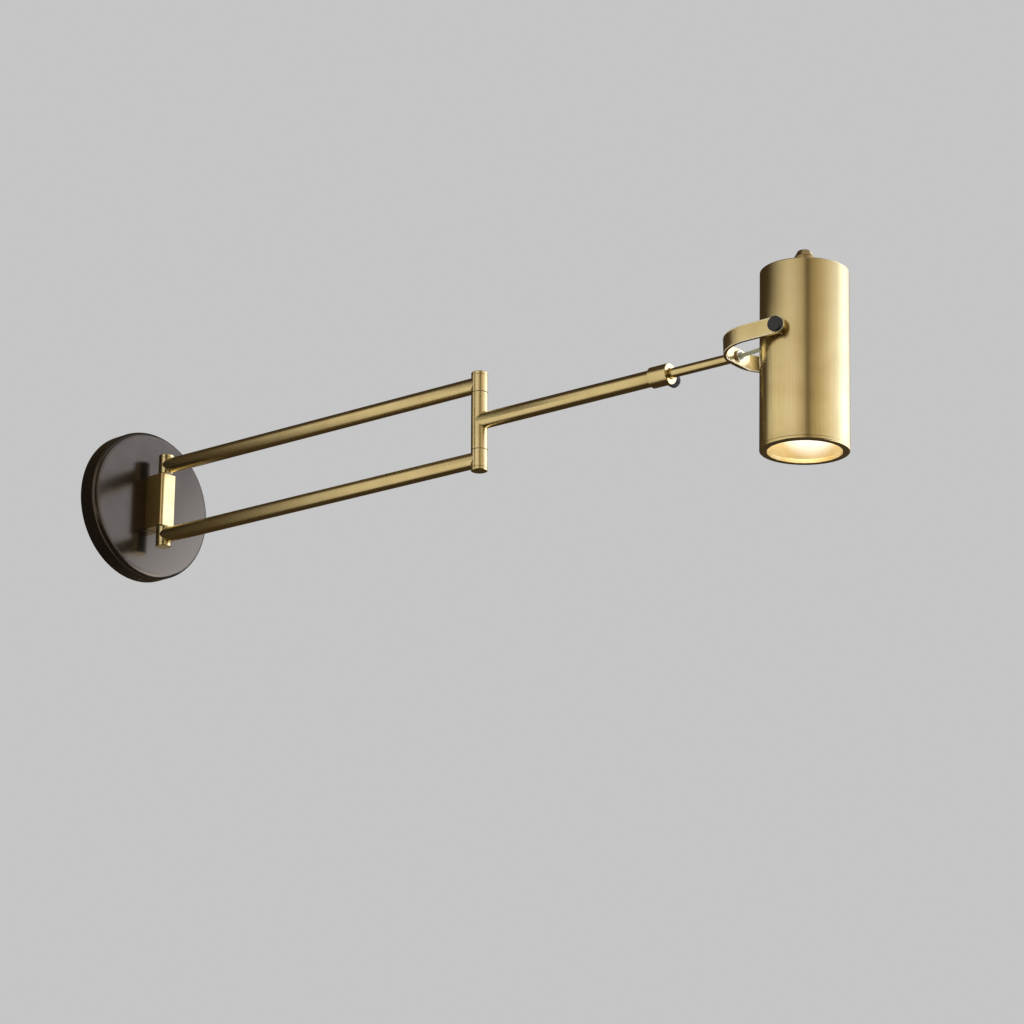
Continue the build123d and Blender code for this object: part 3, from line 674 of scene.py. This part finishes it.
def grid_mesh(
    name: str, points: np.ndarray, wrap_u: bool = False, wrap_v: bool = False
) -> bpy.types.Object:
    """A mesh of four-sided faces over a grid of points, with a UV map by grid place.

    Args:
        name: the object's name.
        points: an array of rows by columns by 3, in metres.
        wrap_u: joins the last row to the first.
        wrap_v: joins the last column to the first.

    Returns:
        The object, at the origin.
    """
    rows, columns = points.shape[:2]
    row = np.arange(rows if wrap_u else rows - 1)[:, None]
    column = np.arange(columns if wrap_v else columns - 1)[None, :]
    faces, corner_places = [], []
    for u, v in ((0, 0), (1, 0), (1, 1), (0, 1)):
        faces.append(((row + u) % rows * columns + (column + v) % columns).ravel())
        place = np.broadcast_arrays((row + u) / row.size, (column + v) / column.size)
        corner_places.append(np.stack(place, axis=-1))
    mesh = bpy.data.meshes.new(name)
    mesh.from_pydata(points.reshape(-1, 3), [], np.stack(faces, axis=1))
    layer = mesh.uv_layers.new(name="grid")
    layer.data.foreach_set("uv", np.stack(corner_places, axis=2).astype(np.float32).ravel())
    mesh.shade_smooth()
    mesh.update()
    made = bpy.data.objects.new(name, mesh)
    bpy.context.scene.collection.objects.link(made)
    return made


def dress(piece: bpy.types.Object, material: bpy.types.Material) -> None:
    """Gives a piece one material."""
    piece.data.materials.clear()
    piece.data.materials.append(material)


@dataclass(frozen=True)
class LampFrame:
    """Places and directions of the lamp's joints at rest, in metres."""

    post: np.ndarray
    elbow: np.ndarray
    pivot: np.ndarray
    arm: np.ndarray
    side: np.ndarray
    head_up: np.ndarray

    @classmethod
    def read(cls, joints: Sequence[Mapping[str, Any]]) -> "LampFrame":
        """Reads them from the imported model's joints.

        Args:
            joints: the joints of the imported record.

        Returns:
            The places and directions.
        """
        named = {joint["name"]: joint for joint in joints}

        def place(joint: str) -> np.ndarray:
            """A joint's place."""
            return np.array(named[joint]["pos_m"], float)

        def axis(joint: str) -> np.ndarray:
            """A joint's direction."""
            return np.array(named[joint]["axis"], float)

        return cls(
            post=place("arm_swing"),
            elbow=place("elbow_swing"),
            pivot=place("head_tilt"),
            arm=axis("rod_slide"),
            side=axis("head_tilt"),
            head_up=axis("switch_turn"),
        )

    @property
    def head_out(self) -> np.ndarray:
        """The direction from the head's middle away from the wall, square to the head."""
        return np.cross(self.side, self.head_up)

    def in_head(self, side: float, arm: float, up: float) -> Triple:
        """A point of the head, so far to the side, along the arm and up from between its pivots."""
        return triple(self.pivot + up * self.head_up + side * self.side + arm * self.arm)


class Finishes:
    """Every material of the lamp, made once."""

    def __init__(self, lamp: LampFrame) -> None:
        """Makes the materials.

        Args:
            lamp: the joints' places, which the grain and the glow follow.
        """
        up, arm, head_up = triple(UP), triple(lamp.arm), triple(lamp.head_up)
        pivot = triple(lamp.pivot)
        self.brass_arm = Brass("brass_along_arm", arm).build()
        self.brass_post = Brass("brass_upright", up).build()
        # Painted shade: a dark line where each cap meets its knuckle.
        self.brass_cap = Brass(
            "brass_cap",
            up,
            patch=LevelLine(height=37.6 * MM, width=0.5 * MM),
            patch_colour=(0.20, 0.14, 0.06),
        ).build()
        flanks = Beside(past=7.6 * MM)
        self.brass_block = Brass("brass_block", up, roughness=0.34, patch=flanks).build()
        # Painted highlight along the strip's edge; the wider occlusion reach paints shade where the
        # yoke lies close to the head.
        self.brass_yoke = Brass(
            "brass_yoke",
            arm,
            patina_and_shade_reach=2.5 * MM,
            patch=StripEdgeHighlight(pivot, arm, inner=5.6 * MM, outer=6.22 * MM),
            patch_colour=(0.98, 0.90, 0.68),
            patch_dull=0.5,
        ).build()
        self.brass_bezel = Brass(
            "brass_bezel",
            head_up,
            patch=NearAxis(pivot, head_up, within=27.1 * MM),
            patch_colour=(0.72, 0.64, 0.42),
        ).build()
        self.brass_knob = Brass(
            "brass_knob", head_up, clean=(0.46, 0.34, 0.17), aged=(0.36, 0.25, 0.11), roughness=0.3
        ).build()
        self.brass_nut = Brass(
            "brass_nut", arm, clean=(0.90, 0.84, 0.70), aged=(0.84, 0.77, 0.61), roughness=0.5
        ).build()
        # Painted shade: the head grows darker towards its top.
        self.brass_head = Brass(
            "brass_along_head",
            head_up,
            streak=(90 * MM, 0.5 * MM),
            patch=Along(pivot, head_up, low=-75 * MM, high=85 * MM),
            patch_colour=(0.49, 0.39, 0.19),
        ).build()
        self.bronze = Bronze("dark_bronze").build()
        self.dark_steel = Speckled(
            "blackened_steel", (0.050, 0.050, 0.049), (0.030, 0.030, 0.030), 0.34, metallic=0.8
        ).build()
        self.knurl = Speckled(
            "black_steel",
            (0.010, 0.010, 0.0095),
            (0.006, 0.006, 0.006),
            0.28,
            metallic=0.9,
            speck=0.9 * MM,
        ).build()
        self.zinc = Speckled(
            "zinc_steel", (0.60, 0.60, 0.61), (0.44, 0.45, 0.47), 0.34, metallic=1.0
        ).build()
        self.green = Speckled(
            "green_enamel", (0.03, 0.22, 0.06), (0.02, 0.15, 0.04), 0.3, coat=0.5
        ).build()
        self.nylon = Speckled("nylon", (0.70, 0.67, 0.58), (0.60, 0.57, 0.47), 0.5).build()
        self.bush = Speckled("olive_nylon", (0.62, 0.62, 0.46), (0.50, 0.50, 0.35), 0.55).build()
        # Painted glow: a pale patch on the reflector where the lamp's light falls brightest.
        painted_glow_centre = lamp.in_head(side=23.5 * MM, arm=-8 * MM, up=-48 * MM)
        self.reflector = Speckled(
            "warm_reflector",
            (0.76, 0.61, 0.32),
            (0.71, 0.56, 0.28),
            0.34,
            metallic=0.4,
            speck=1.2 * MM,
            patch=NearPoint(painted_glow_centre, near=23 * MM, far=34 * MM),
        ).build()
        self.ceramic = Speckled(
            "glazed_ceramic", (0.86, 0.84, 0.79), (0.76, 0.73, 0.66), 0.2, coat=0.6
        ).build()
        self.plastic = Speckled(
            "black_plastic", (0.030, 0.030, 0.030), (0.018, 0.018, 0.018), 0.5
        ).build()
        self.rubber = Speckled(
            "black_rubber", (0.028, 0.028, 0.027), (0.018, 0.018, 0.018), 0.65
        ).build()
        lens = lamp.in_head(side=4 * MM, arm=4 * MM, up=-66 * MM)
        self.lamp_glass = LampGlass("lit_lamp_glass", lens).build()
        self.jacket = FlexJacket("olive_flex_jacket").build()


@dataclass
class Part(ABC):
    """A sub-assembly: CAD nodes that get a finish, and new pieces that ride with them."""

    lamp: LampFrame
    finishes: Finishes

    @abstractmethod
    def dress(self) -> None:
        """Gives the nodes their finishes and adds the new pieces."""

    def finish_nodes(self, material: bpy.types.Material, *names: str) -> None:
        """Gives CAD nodes a material.

        Args:
            material: the material.
            names: the nodes.
        """
        for name in names:
            dress(frame["nodes"][name], material)
            LOG.info("finish %s on %s", material.name, name)

    def add(
        self, piece: bpy.types.Object, body: str, slot: str, material: bpy.types.Material
    ) -> None:
        """Dresses a new piece and lets it ride on a body.

        Args:
            piece: the new piece.
            body: the body that it moves with.
            slot: the record's material slot; not used.
            material: its material.
        """
        dress(piece, material)
        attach(piece, body)
        LOG.info("piece %s rides on %s", piece.name, body)


@dataclass(frozen=True)
class SolderFillet:
    """The solder left in the corner where a tube runs square into an upright post."""

    name: str
    joint: np.ndarray
    along: np.ndarray
    radius: float
    tube_radius: float = 6.35 * MM
    post_radius: float = 6.5 * MM
    corner_reach: float = 0.98
    corner_tuck: float = 0.97
    round_count: int = 96
    arc_count: int = 8

    def build(self) -> bpy.types.Object:
        """A ball rolls in the corner: its middle is on both cylinders grown by its radius.

        At angle t round the tube the middle is
        (x, y, z) = (sqrt((R+b)^2 - y^2), (r+b) sin t, (r+b) cos t), with R the post's radius, r the
        tube's and b the ball's. The surface is the arc between the places where the ball touches
        tube and post, closed by a corner just inside both.

        Returns:
            The closed ring.
        """
        turn = round_angles(self.round_count)
        grown = self.tube_radius + self.radius
        y, z = grown * np.sin(turn), grown * np.cos(turn)
        x = np.sqrt((self.post_radius + self.radius) ** 2 - y**2)
        middle = np.stack([x, y, z], axis=1)
        to_tube = np.stack([0 * x, -np.sin(turn), -np.cos(turn)], axis=1)
        to_post = -np.stack([x, y, 0 * z], axis=1) / (self.post_radius + self.radius)
        share = np.linspace(0.0, 1.0, self.arc_count)[None, :, None]
        towards = (1 - share) * to_tube[:, None] + share * to_post[:, None]
        towards /= np.linalg.norm(towards, axis=2, keepdims=True)
        arc = middle[:, None] + self.radius * towards
        corner = middle + self.corner_reach * self.radius * (to_tube + to_post)
        inside = corner * (1.0, self.corner_tuck, self.corner_tuck)
        ring = np.concatenate([arc, inside[:, None]], axis=1)
        axes = np.stack([self.along, np.cross(UP, self.along), UP])
        return grid_mesh(self.name, self.joint + ring @ axes, wrap_u=True, wrap_v=True)


class WallBase(Part):
    """Plate, strap, block and the hinge pin that stand on the wall."""

    def dress(self) -> None:
        """Gives the nodes their finishes."""
        look = self.finishes
        self.finish_nodes(look.bronze, "wall_plate")
        self.finish_nodes(look.brass_block, "hinge_block")
        self.finish_nodes(look.brass_cap, "wall_pin_caps")
        self.finish_nodes(look.zinc, "mounting_strap", "rim_screws", "block_washers")
        self.finish_nodes(look.zinc, "block_screws", "wall_hinge_pin")
        self.finish_nodes(look.green, "ground_screw")
        self.finish_nodes(look.nylon, "wall_hinge_washers")


@dataclass
class InnerArm(Part):
    """Two parallel tubes between knuckles, with the elbow's pin."""

    tube_height: float = 30.55 * MM
    solder: float = 0.42 * MM

    def dress(self) -> None:
        """Gives the nodes their finishes and adds the solder at the tubes' four ends."""
        look, lamp = self.finishes, self.lamp
        ends = ("wall", lamp.post, lamp.arm), ("elbow", lamp.elbow, -lamp.arm)
        self.finish_nodes(look.brass_arm, "upper_arm_tube", "lower_arm_tube")
        for level, side in (("upper", 1), ("lower", -1)):
            self.finish_nodes(look.brass_post, f"{level}_wall_knuckle", f"{level}_elbow_knuckle")
            for place, joint, along in ends:
                centre = joint + side * self.tube_height * UP
                fillet = SolderFillet(f"solder_{level}_{place}", centre, along, self.solder)
                self.add(fillet.build(), "inner_arm", "brass", look.brass_arm)
        self.finish_nodes(look.brass_cap, "elbow_pin_caps")
        self.finish_nodes(look.zinc, "elbow_hinge_pin")
        self.finish_nodes(look.nylon, "elbow_hinge_washers")


@dataclass
class OuterArm(Part):
    """Sleeve, tube and clamp collar, with the thumb screw, and the rod that slides in them."""

    solder: float = 1.1 * MM

    def dress(self) -> None:
        """Gives the nodes their finishes and adds the solder between sleeve and tube."""
        look, lamp = self.finishes, self.lamp
        self.finish_nodes(look.brass_post, "elbow_sleeve")
        self.finish_nodes(look.brass_arm, "outer_arm_tube", "clamp_collar", "slide_rod")
        self.finish_nodes(look.brass_nut, "yoke_nut")
        self.finish_nodes(look.knurl, "thumb_screw")
        self.finish_nodes(look.nylon, "rod_guide")
        self.finish_nodes(look.bush, "cord_bush")
        fillet = SolderFillet("solder_sleeve", lamp.elbow, lamp.arm, self.solder)
        self.add(fillet.build(), "outer_arm", "brass", look.brass_arm)


@dataclass(frozen=True)
class Flex:
    """The short flex from the rod's bush to the grommet in the head's back."""

    diameter: float = 3.0 * MM
    length: float = 31.0 * MM
    bush_end: float = 234.5 * MM
    turn_out: float = 244.0 * MM
    turn_in: float = -37.0 * MM
    head_end: float = -27.5 * MM
    spline_order: int = 3
    spline_steps: int = 24
    round_count: int = 32

    def route(self, lamp: LampFrame) -> np.ndarray:
        """The route that the flex takes.

        Args:
            lamp: the joints' places.

        Returns:
            Four points: in the bush, out of it, before the grommet and inside the head.
        """
        return np.array(
            [
                lamp.elbow + self.bush_end * lamp.arm,
                lamp.elbow + self.turn_out * lamp.arm,
                lamp.pivot + self.turn_in * lamp.head_out,
                lamp.pivot + self.head_end * lamp.head_out,
            ]
        )

    def line(self, lamp: LampFrame) -> np.ndarray:
        """The smooth spline that has the route as control points.

        Args:
            lamp: the joints' places.

        Returns:
            Points down the flex's middle.
        """
        route = self.route(lamp)
        controls = np.c_[route, np.ones(len(route))].astype(np.float32)
        curve = bpy.data.curves.new("flex_line", "CURVE")
        curve.dimensions = "3D"
        spline = curve.splines.new("NURBS")
        spline.points.add(len(route) - 1)
        spline.points.foreach_set("co", controls.ravel())
        spline.order_u = self.spline_order
        spline.use_endpoint_u = True
        spline.resolution_u = self.spline_steps
        carrier = bpy.data.objects.new("flex_line", curve)
        mesh = bpy.data.meshes.new_from_object(carrier)
        flat = np.zeros(3 * len(mesh.vertices), np.float32)
        mesh.vertices.foreach_get("co", flat)
        bpy.data.meshes.remove(mesh)
        bpy.data.curves.remove(curve)
        return flat.reshape(-1, 3).astype(float)

    def build(self, lamp: LampFrame) -> tuple[bpy.types.Object, np.ndarray]:
        """Carries a circle along the line, square to it, with both ends drawn in to a point.

        Args:
            lamp: the joints' places.

        Returns:
            The tube and the points that it follows.
        """
        line = self.line(lamp)
        forward = np.gradient(line, axis=0)
        forward /= np.linalg.norm(forward, axis=1, keepdims=True)
        over = np.cross(lamp.side, forward)
        turn = round_angles(self.round_count)[None, :, None]
        spoke = np.cos(turn) * lamp.side + np.sin(turn) * over[:, None]
        tube = line[:, None] + self.diameter / 2 * spoke
        start, end = (np.repeat(line[i][None, None], self.round_count, axis=1) for i in (0, -1))
        return grid_mesh("flex_cord", np.concatenate([start, tube, end]), wrap_v=True), line


@dataclass
class HeadYoke(Part):
    """The U strip that carries the head, and the flex beside it."""

    flex: Flex = Flex()

    def dress(self) -> None:
        """Gives the yoke its finish and makes the flex in its rest shape, in place of the model's
        own.
        """
        look, lamp = self.finishes, self.lamp
        self.finish_nodes(look.brass_yoke, "yoke")
        cord, line = self.flex.build(lamp)
        dress(cord, look.jacket)
        route = self.flex.route(lamp)
        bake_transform(cord)
        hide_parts("flex")
        LOG.info("piece %s bends between head_yoke and lamp_head", cord.name)


class LampHead(Part):
    """Shell, bezel, reflector and lamp, the pivots, the switch and its knob."""

    def dress(self) -> None:
        """Gives the nodes their finishes."""
        look = self.finishes
        self.finish_nodes(look.brass_head, "head_shell", "head_cap")
        self.finish_nodes(look.brass_bezel, "bezel_ring")
        self.finish_nodes(look.brass_knob, "switch_knob")
        self.finish_nodes(look.brass_arm, "pivot_bosses")
        self.finish_nodes(look.dark_steel, "pivot_screws")
        self.finish_nodes(look.reflector, "reflector")
        self.finish_nodes(look.lamp_glass, "bulb")
        self.finish_nodes(look.ceramic, "lamp_holder")
        self.finish_nodes(look.zinc, "holder_bracket", "holder_screws", "switch_nut")
        self.finish_nodes(look.plastic, "switch_body", "friction_washers")
        self.finish_nodes(look.rubber, "flex_grommet")


@dataclass
class Camera:
    """The photograph's viewpoint."""

    place: Triple = (-1.47753, -1.7190, -0.70286)
    yaw: float = math.radians(-48.727)
    pitch: float = math.radians(17.328)
    focal_pixels: float = 2768.21
    image_pixels: int = 1024
    sensor: float = 36.0
    clip: Range = (0.05, 100.0)

    def build(self) -> None:
        """Makes the scene's camera, turned by yaw from the wall's direction and pitched up."""
        data = bpy.data.cameras.new("photo_camera")
        data.sensor_width = self.sensor
        data.lens = self.focal_pixels * self.sensor / self.image_pixels
        data.clip_start, data.clip_end = self.clip
        made = bpy.data.objects.new("photo_camera", data)
        made.location = self.place
        made.rotation_euler = (math.pi / 2 + self.pitch, 0.0, self.yaw)
        bpy.context.scene.collection.objects.link(made)
        bpy.context.scene.camera = made


class Seen(Enum):
    """Which rays meet a studio piece."""

    ALL = "everything"
    LIGHT = "reflections and the light that it gives"
    MIRROR = "reflections only"


def show(piece: bpy.types.Object, seen: Seen) -> None:
    """Marks a piece as studio and says which rays meet it.

    Args:
        piece: the panel or floor.
        seen: which rays meet it.
    """
    if seen is not Seen.ALL:
        piece.visible_camera = False
        piece.visible_shadow = False
        piece.visible_transmission = False
        piece.visible_diffuse = seen is Seen.LIGHT


@dataclass(frozen=True)
class Floor:
    """The pale round floor."""

    height: float = -1.15
    middle: float = -0.35
    rings: tuple[float, ...] = (0.0, 0.5, 1.0, 2.0, 4.0, 9.0)
    sides: int = 96
    grey: Colour = (0.70, 0.70, 0.70)
    pale: Colour = (0.76, 0.76, 0.755)
    clouds_per_metre: float = 3.0
    roughness: float = 0.8

    def build(self) -> None:
        """Rings of points about a point below the lamp's middle, with faint clouds of colour."""
        radius = np.array(self.rings)[:, None]
        turn = round_angles(self.sides)[None, :]
        level = np.full_like(radius * turn, self.height)
        points = [radius * np.cos(turn), radius * np.sin(turn) + self.middle, level]
        made = grid_mesh("floor", np.stack(points, axis=-1), wrap_v=True)
        graph = Graph("pale_floor")
        clouds = graph.noise(graph.place(), self.clouds_per_metre, detail=3.0)
        colour = graph.mix(clouds, self.grey, self.pale)
        dress(made, graph.finish(PRINCIPLED, Base_Color=colour, Roughness=self.roughness))
        show(made, Seen.ALL)


@dataclass(frozen=True)
class MirroredRoom:
    """The wall and the floor as the metal mirrors them."""

    unlit: Colour = (0.056, 0.039, 0.021)
    lit: Colour = (0.97, 0.93, 0.86)
    behind: float = 0.03
    hole: float = 0.062
    reach: float = 3.5
    ring_count: int = 13
    side_count: int = 72
    shadow_drop: float = 0.02
    shadow_limits: Range = (0.16, 0.44)
    left_limits: Range = (0.0, -0.15)
    slope_base: float = 0.03
    upper_limits: Range = (1.45, 0.55)
    lower_limits: Range = (-3.5, -1.2)
    floor_half: float = 4.0
    floor_counts: tuple[int, int] = (17, 9)
    floor_lift: float = 0.02

    def wall(self) -> None:
        """Dark about the plate, above and below, and lit to the left.

        Rings of points about the plate's middle, open behind the plate. The light rises with the
        distance from the plate's shadow and falls with the angle from the level.
        """
        radius = np.geomspace(self.hole, self.reach, self.ring_count)[:, None]
        turn = round_angles(self.side_count)[None, :]
        level = np.full_like(radius * turn, self.behind)
        points = np.stack([radius * np.cos(turn), level, radius * np.sin(turn)], axis=-1)
        made = grid_mesh("mirrored_wall", points, wrap_v=True)
        graph = Graph("mirrored_wall")
        across, _, height = graph.parts(graph.place())
        away = across.hypot(height + self.shadow_drop)
        slope = height / (across.math("ABSOLUTE") + self.slope_base)
        share = across.step(*self.left_limits) * away.step(*self.shadow_limits)
        share = share * slope.step(*self.upper_limits) * slope.step(*self.lower_limits)
        colour = graph.mix(share, self.unlit, self.lit)
        dress(made, graph.finish(EMISSION, Color=colour, Strength=1.0))
        show(made, Seen.MIRROR)

    def floor(self, height: float) -> None:
        """A dark level grid before the wall.

        Args:
            height: the height of the studio's floor.
        """
        across = np.linspace(-self.floor_half, self.floor_half, self.floor_counts[0])
        out = np.linspace(-self.floor_half, self.behind, self.floor_counts[1])
        x, y = np.meshgrid(across, out, indexing="ij")
        level = np.full_like(x, height + self.floor_lift)
        made = grid_mesh("mirrored_floor", np.stack([x, y, level], axis=-1))
        graph = Graph("mirrored_floor")
        dress(made, graph.finish(EMISSION, Color=self.unlit, Strength=1.0))
        show(made, Seen.MIRROR)


@dataclass(frozen=True)
class Spread:
    """Where a studio panel stands, in degrees as seen from its centre, or else from the head.

    The turn is to the right of the camera's direction and the rise is above the level.
    """

    turn: Range
    rise: Range
    reach: float = 2.6
    centre: Optional[np.ndarray] = None


KEY_LIGHT: Stops = (
    (0.0, (0.44, 0.37, 0.26)),
    (0.13, (0.68, 0.59, 0.44)),
    (0.25, (0.94, 0.87, 0.78)),
    (0.38, (1.27, 1.24, 1.28)),
    (0.52, (1.45, 1.55, 1.90)),
    (0.65, (2.9, 3.1, 3.8)),
    (0.76, (2.7, 2.9, 3.4)),
    (0.86, (1.5, 1.6, 1.8)),
    (1.0, (0.9, 0.9, 0.95)),
)
LOW_LIGHT: Stops = (
    (0.0, (1.0, 1.0, 1.0)),
    (0.3, (3.4, 3.4, 3.7)),
    (0.8, (3.4, 3.4, 3.7)),
    (1.0, (1.0, 1.0, 1.0)),
)
FILL_LIGHT: Stops = (
    (0.0, (1.02, 0.98, 0.97)),
    (0.5, (1.0, 0.96, 0.94)),
    (0.8, (0.80, 0.74, 0.66)),
    (1.0, (0.55, 0.47, 0.36)),
)


@dataclass
class Studio:
    """Floor, soft light and the panels that the metal mirrors."""

    lamp: LampFrame
    camera: Camera
    ground: Floor = Floor()
    room: MirroredRoom = MirroredRoom()
    world_level: float = 0.56
    turn_count: int = 49
    rise_count: int = 17
    edge: float = 0.12
    veil_depth: float = 0.95
    veil_edge: float = 0.25

    def world(self) -> None:
        """An even pale grey surround."""
        made = bpy.data.worlds.new("pale_surround")
        made.use_nodes = True
        back = made.node_tree.nodes["Background"]
        back.inputs["Color"].default_value = (1.0, 1.0, 1.0, 1.0)
        back.inputs["Strength"].default_value = self.world_level
        bpy.context.scene.world = made

    def arc(self, name: str, spread: Spread) -> bpy.types.Object:
        """A panel that is part of a sphere.

        Args:
            name: the panel's name.
            spread: where it stands.

        Returns:
            The panel, its UV map running along its turn and rise.
        """
        centre = self.lamp.pivot if spread.centre is None else spread.centre
        to_camera = np.array(self.camera.place) - self.lamp.pivot
        to_camera[2] = 0.0
        to_camera /= np.linalg.norm(to_camera)
        to_right = np.cross(UP, to_camera)
        turns = np.radians(np.linspace(*spread.turn, self.turn_count))[:, None, None]
        rises = np.radians(np.linspace(*spread.rise, self.rise_count))[None, :, None]
        level = np.cos(turns) * to_camera + np.sin(turns) * to_right
        points = centre + spread.reach * (np.cos(rises) * level + np.sin(rises) * UP)
        return grid_mesh(name, points)

    def softbox(self, name: str, spread: Spread, stops: Stops, seen: Seen = Seen.LIGHT) -> None:
        """A glowing panel whose light changes along it and fades to its upper and lower edge.

        Args:
            name: the panel's name.
            spread: where it stands.
            stops: places along it from 0 to 1 with the light there.
            seen: which rays meet it.
        """
        made = self.arc(name, spread)
        graph = Graph(name)
        along, up = graph.uv()
        top = max(max(light) for _, light in stops)
        ramp_stops = [(place, tuple(level / top for level in light)) for place, light in stops]
        ramp = graph.node("ShaderNodeValToRGB", {"stops": ramp_stops}, {0: along})
        fade = up.step(0.0, self.edge) * up.step(1.0, 1.0 - self.edge)
        colour = graph.mix(fade, (0.0, 0.0, 0.0), ramp)
        dress(made, graph.finish(EMISSION, Color=colour, Strength=top))
        show(made, seen)

    def flag(self, name: str, spread: Spread, colour: Colour) -> None:
        """A dark panel that keeps the pale surround out of the metal.

        Args:
            name: the panel's name.
            spread: where it stands.
            colour: what the metal mirrors there.
        """
        made = self.arc(name, spread)
        dress(made, Graph(name).finish(EMISSION, Color=colour, Strength=1.0))
        show(made, Seen.MIRROR)

    def veil(self, name: str, spread: Spread) -> None:
        """A dark panel that thins out to the right and to its lower edge.

        Args:
            name: the panel's name.
            spread: where it stands.
        """
        made = self.arc(name, spread)
        graph = Graph(name)
        along, up = graph.uv()
        share = self.veil_depth * along.step(1.0, 0.0) * up.step(0.0, self.veil_edge)
        clear = graph.node("ShaderNodeBsdfTransparent")
        dark = graph.node(EMISSION, None, {"Color": (*self.room.unlit, 1.0)})
        graph.node_output(graph.node("ShaderNodeMixShader", None, {0: share, 1: clear, 2: dark}))
        dress(made, graph.material)
        show(made, Seen.MIRROR)

    def build(self) -> None:
        """Makes the whole studio."""
        post = self.lamp.post
        self.world()
        self.ground.build()
        low = Spread((72.0, 128.0), (-46.0, -14.0), 1.2, post)
        before_block = Spread((-12.0, 14.0), (-5.0, 45.0), 0.35, post)
        self.softbox("key_softbox", Spread((14.0, 165.0), (-20.0, 55.0)), KEY_LIGHT)
        self.softbox("low_softbox", low, LOW_LIGHT, Seen.MIRROR)
        self.softbox("fill_softbox", Spread((-66.0, 3.0), (-24.0, 55.0)), FILL_LIGHT)
        self.flag("camera_flag", Spread((3.0, 14.0), (-24.0, 60.0)), (0.115, 0.096, 0.070))
        self.veil("left_veil", Spread((-104.0, -33.0), (14.0, 60.0), 0.22))
        self.flag("block_flag", before_block, (0.03, 0.03, 0.03))
        self.room.wall()
        self.room.floor(self.ground.height)


def main() -> None:
    """Dresses the lamp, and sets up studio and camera."""
    logging.basicConfig(level=logging.INFO, format="%(name)s %(message)s")
    bpy.context.scene.view_settings.view_transform = "Standard"
    lamp = LampFrame.read(frame["joints"])
    finishes = Finishes(lamp)
    for part in (WallBase, InnerArm, OuterArm, HeadYoke, LampHead):
        part(lamp, finishes).dress()
    camera = Camera()
    camera.build()
    Studio(lamp, camera).build()


if __name__ == "__main__":
    main()
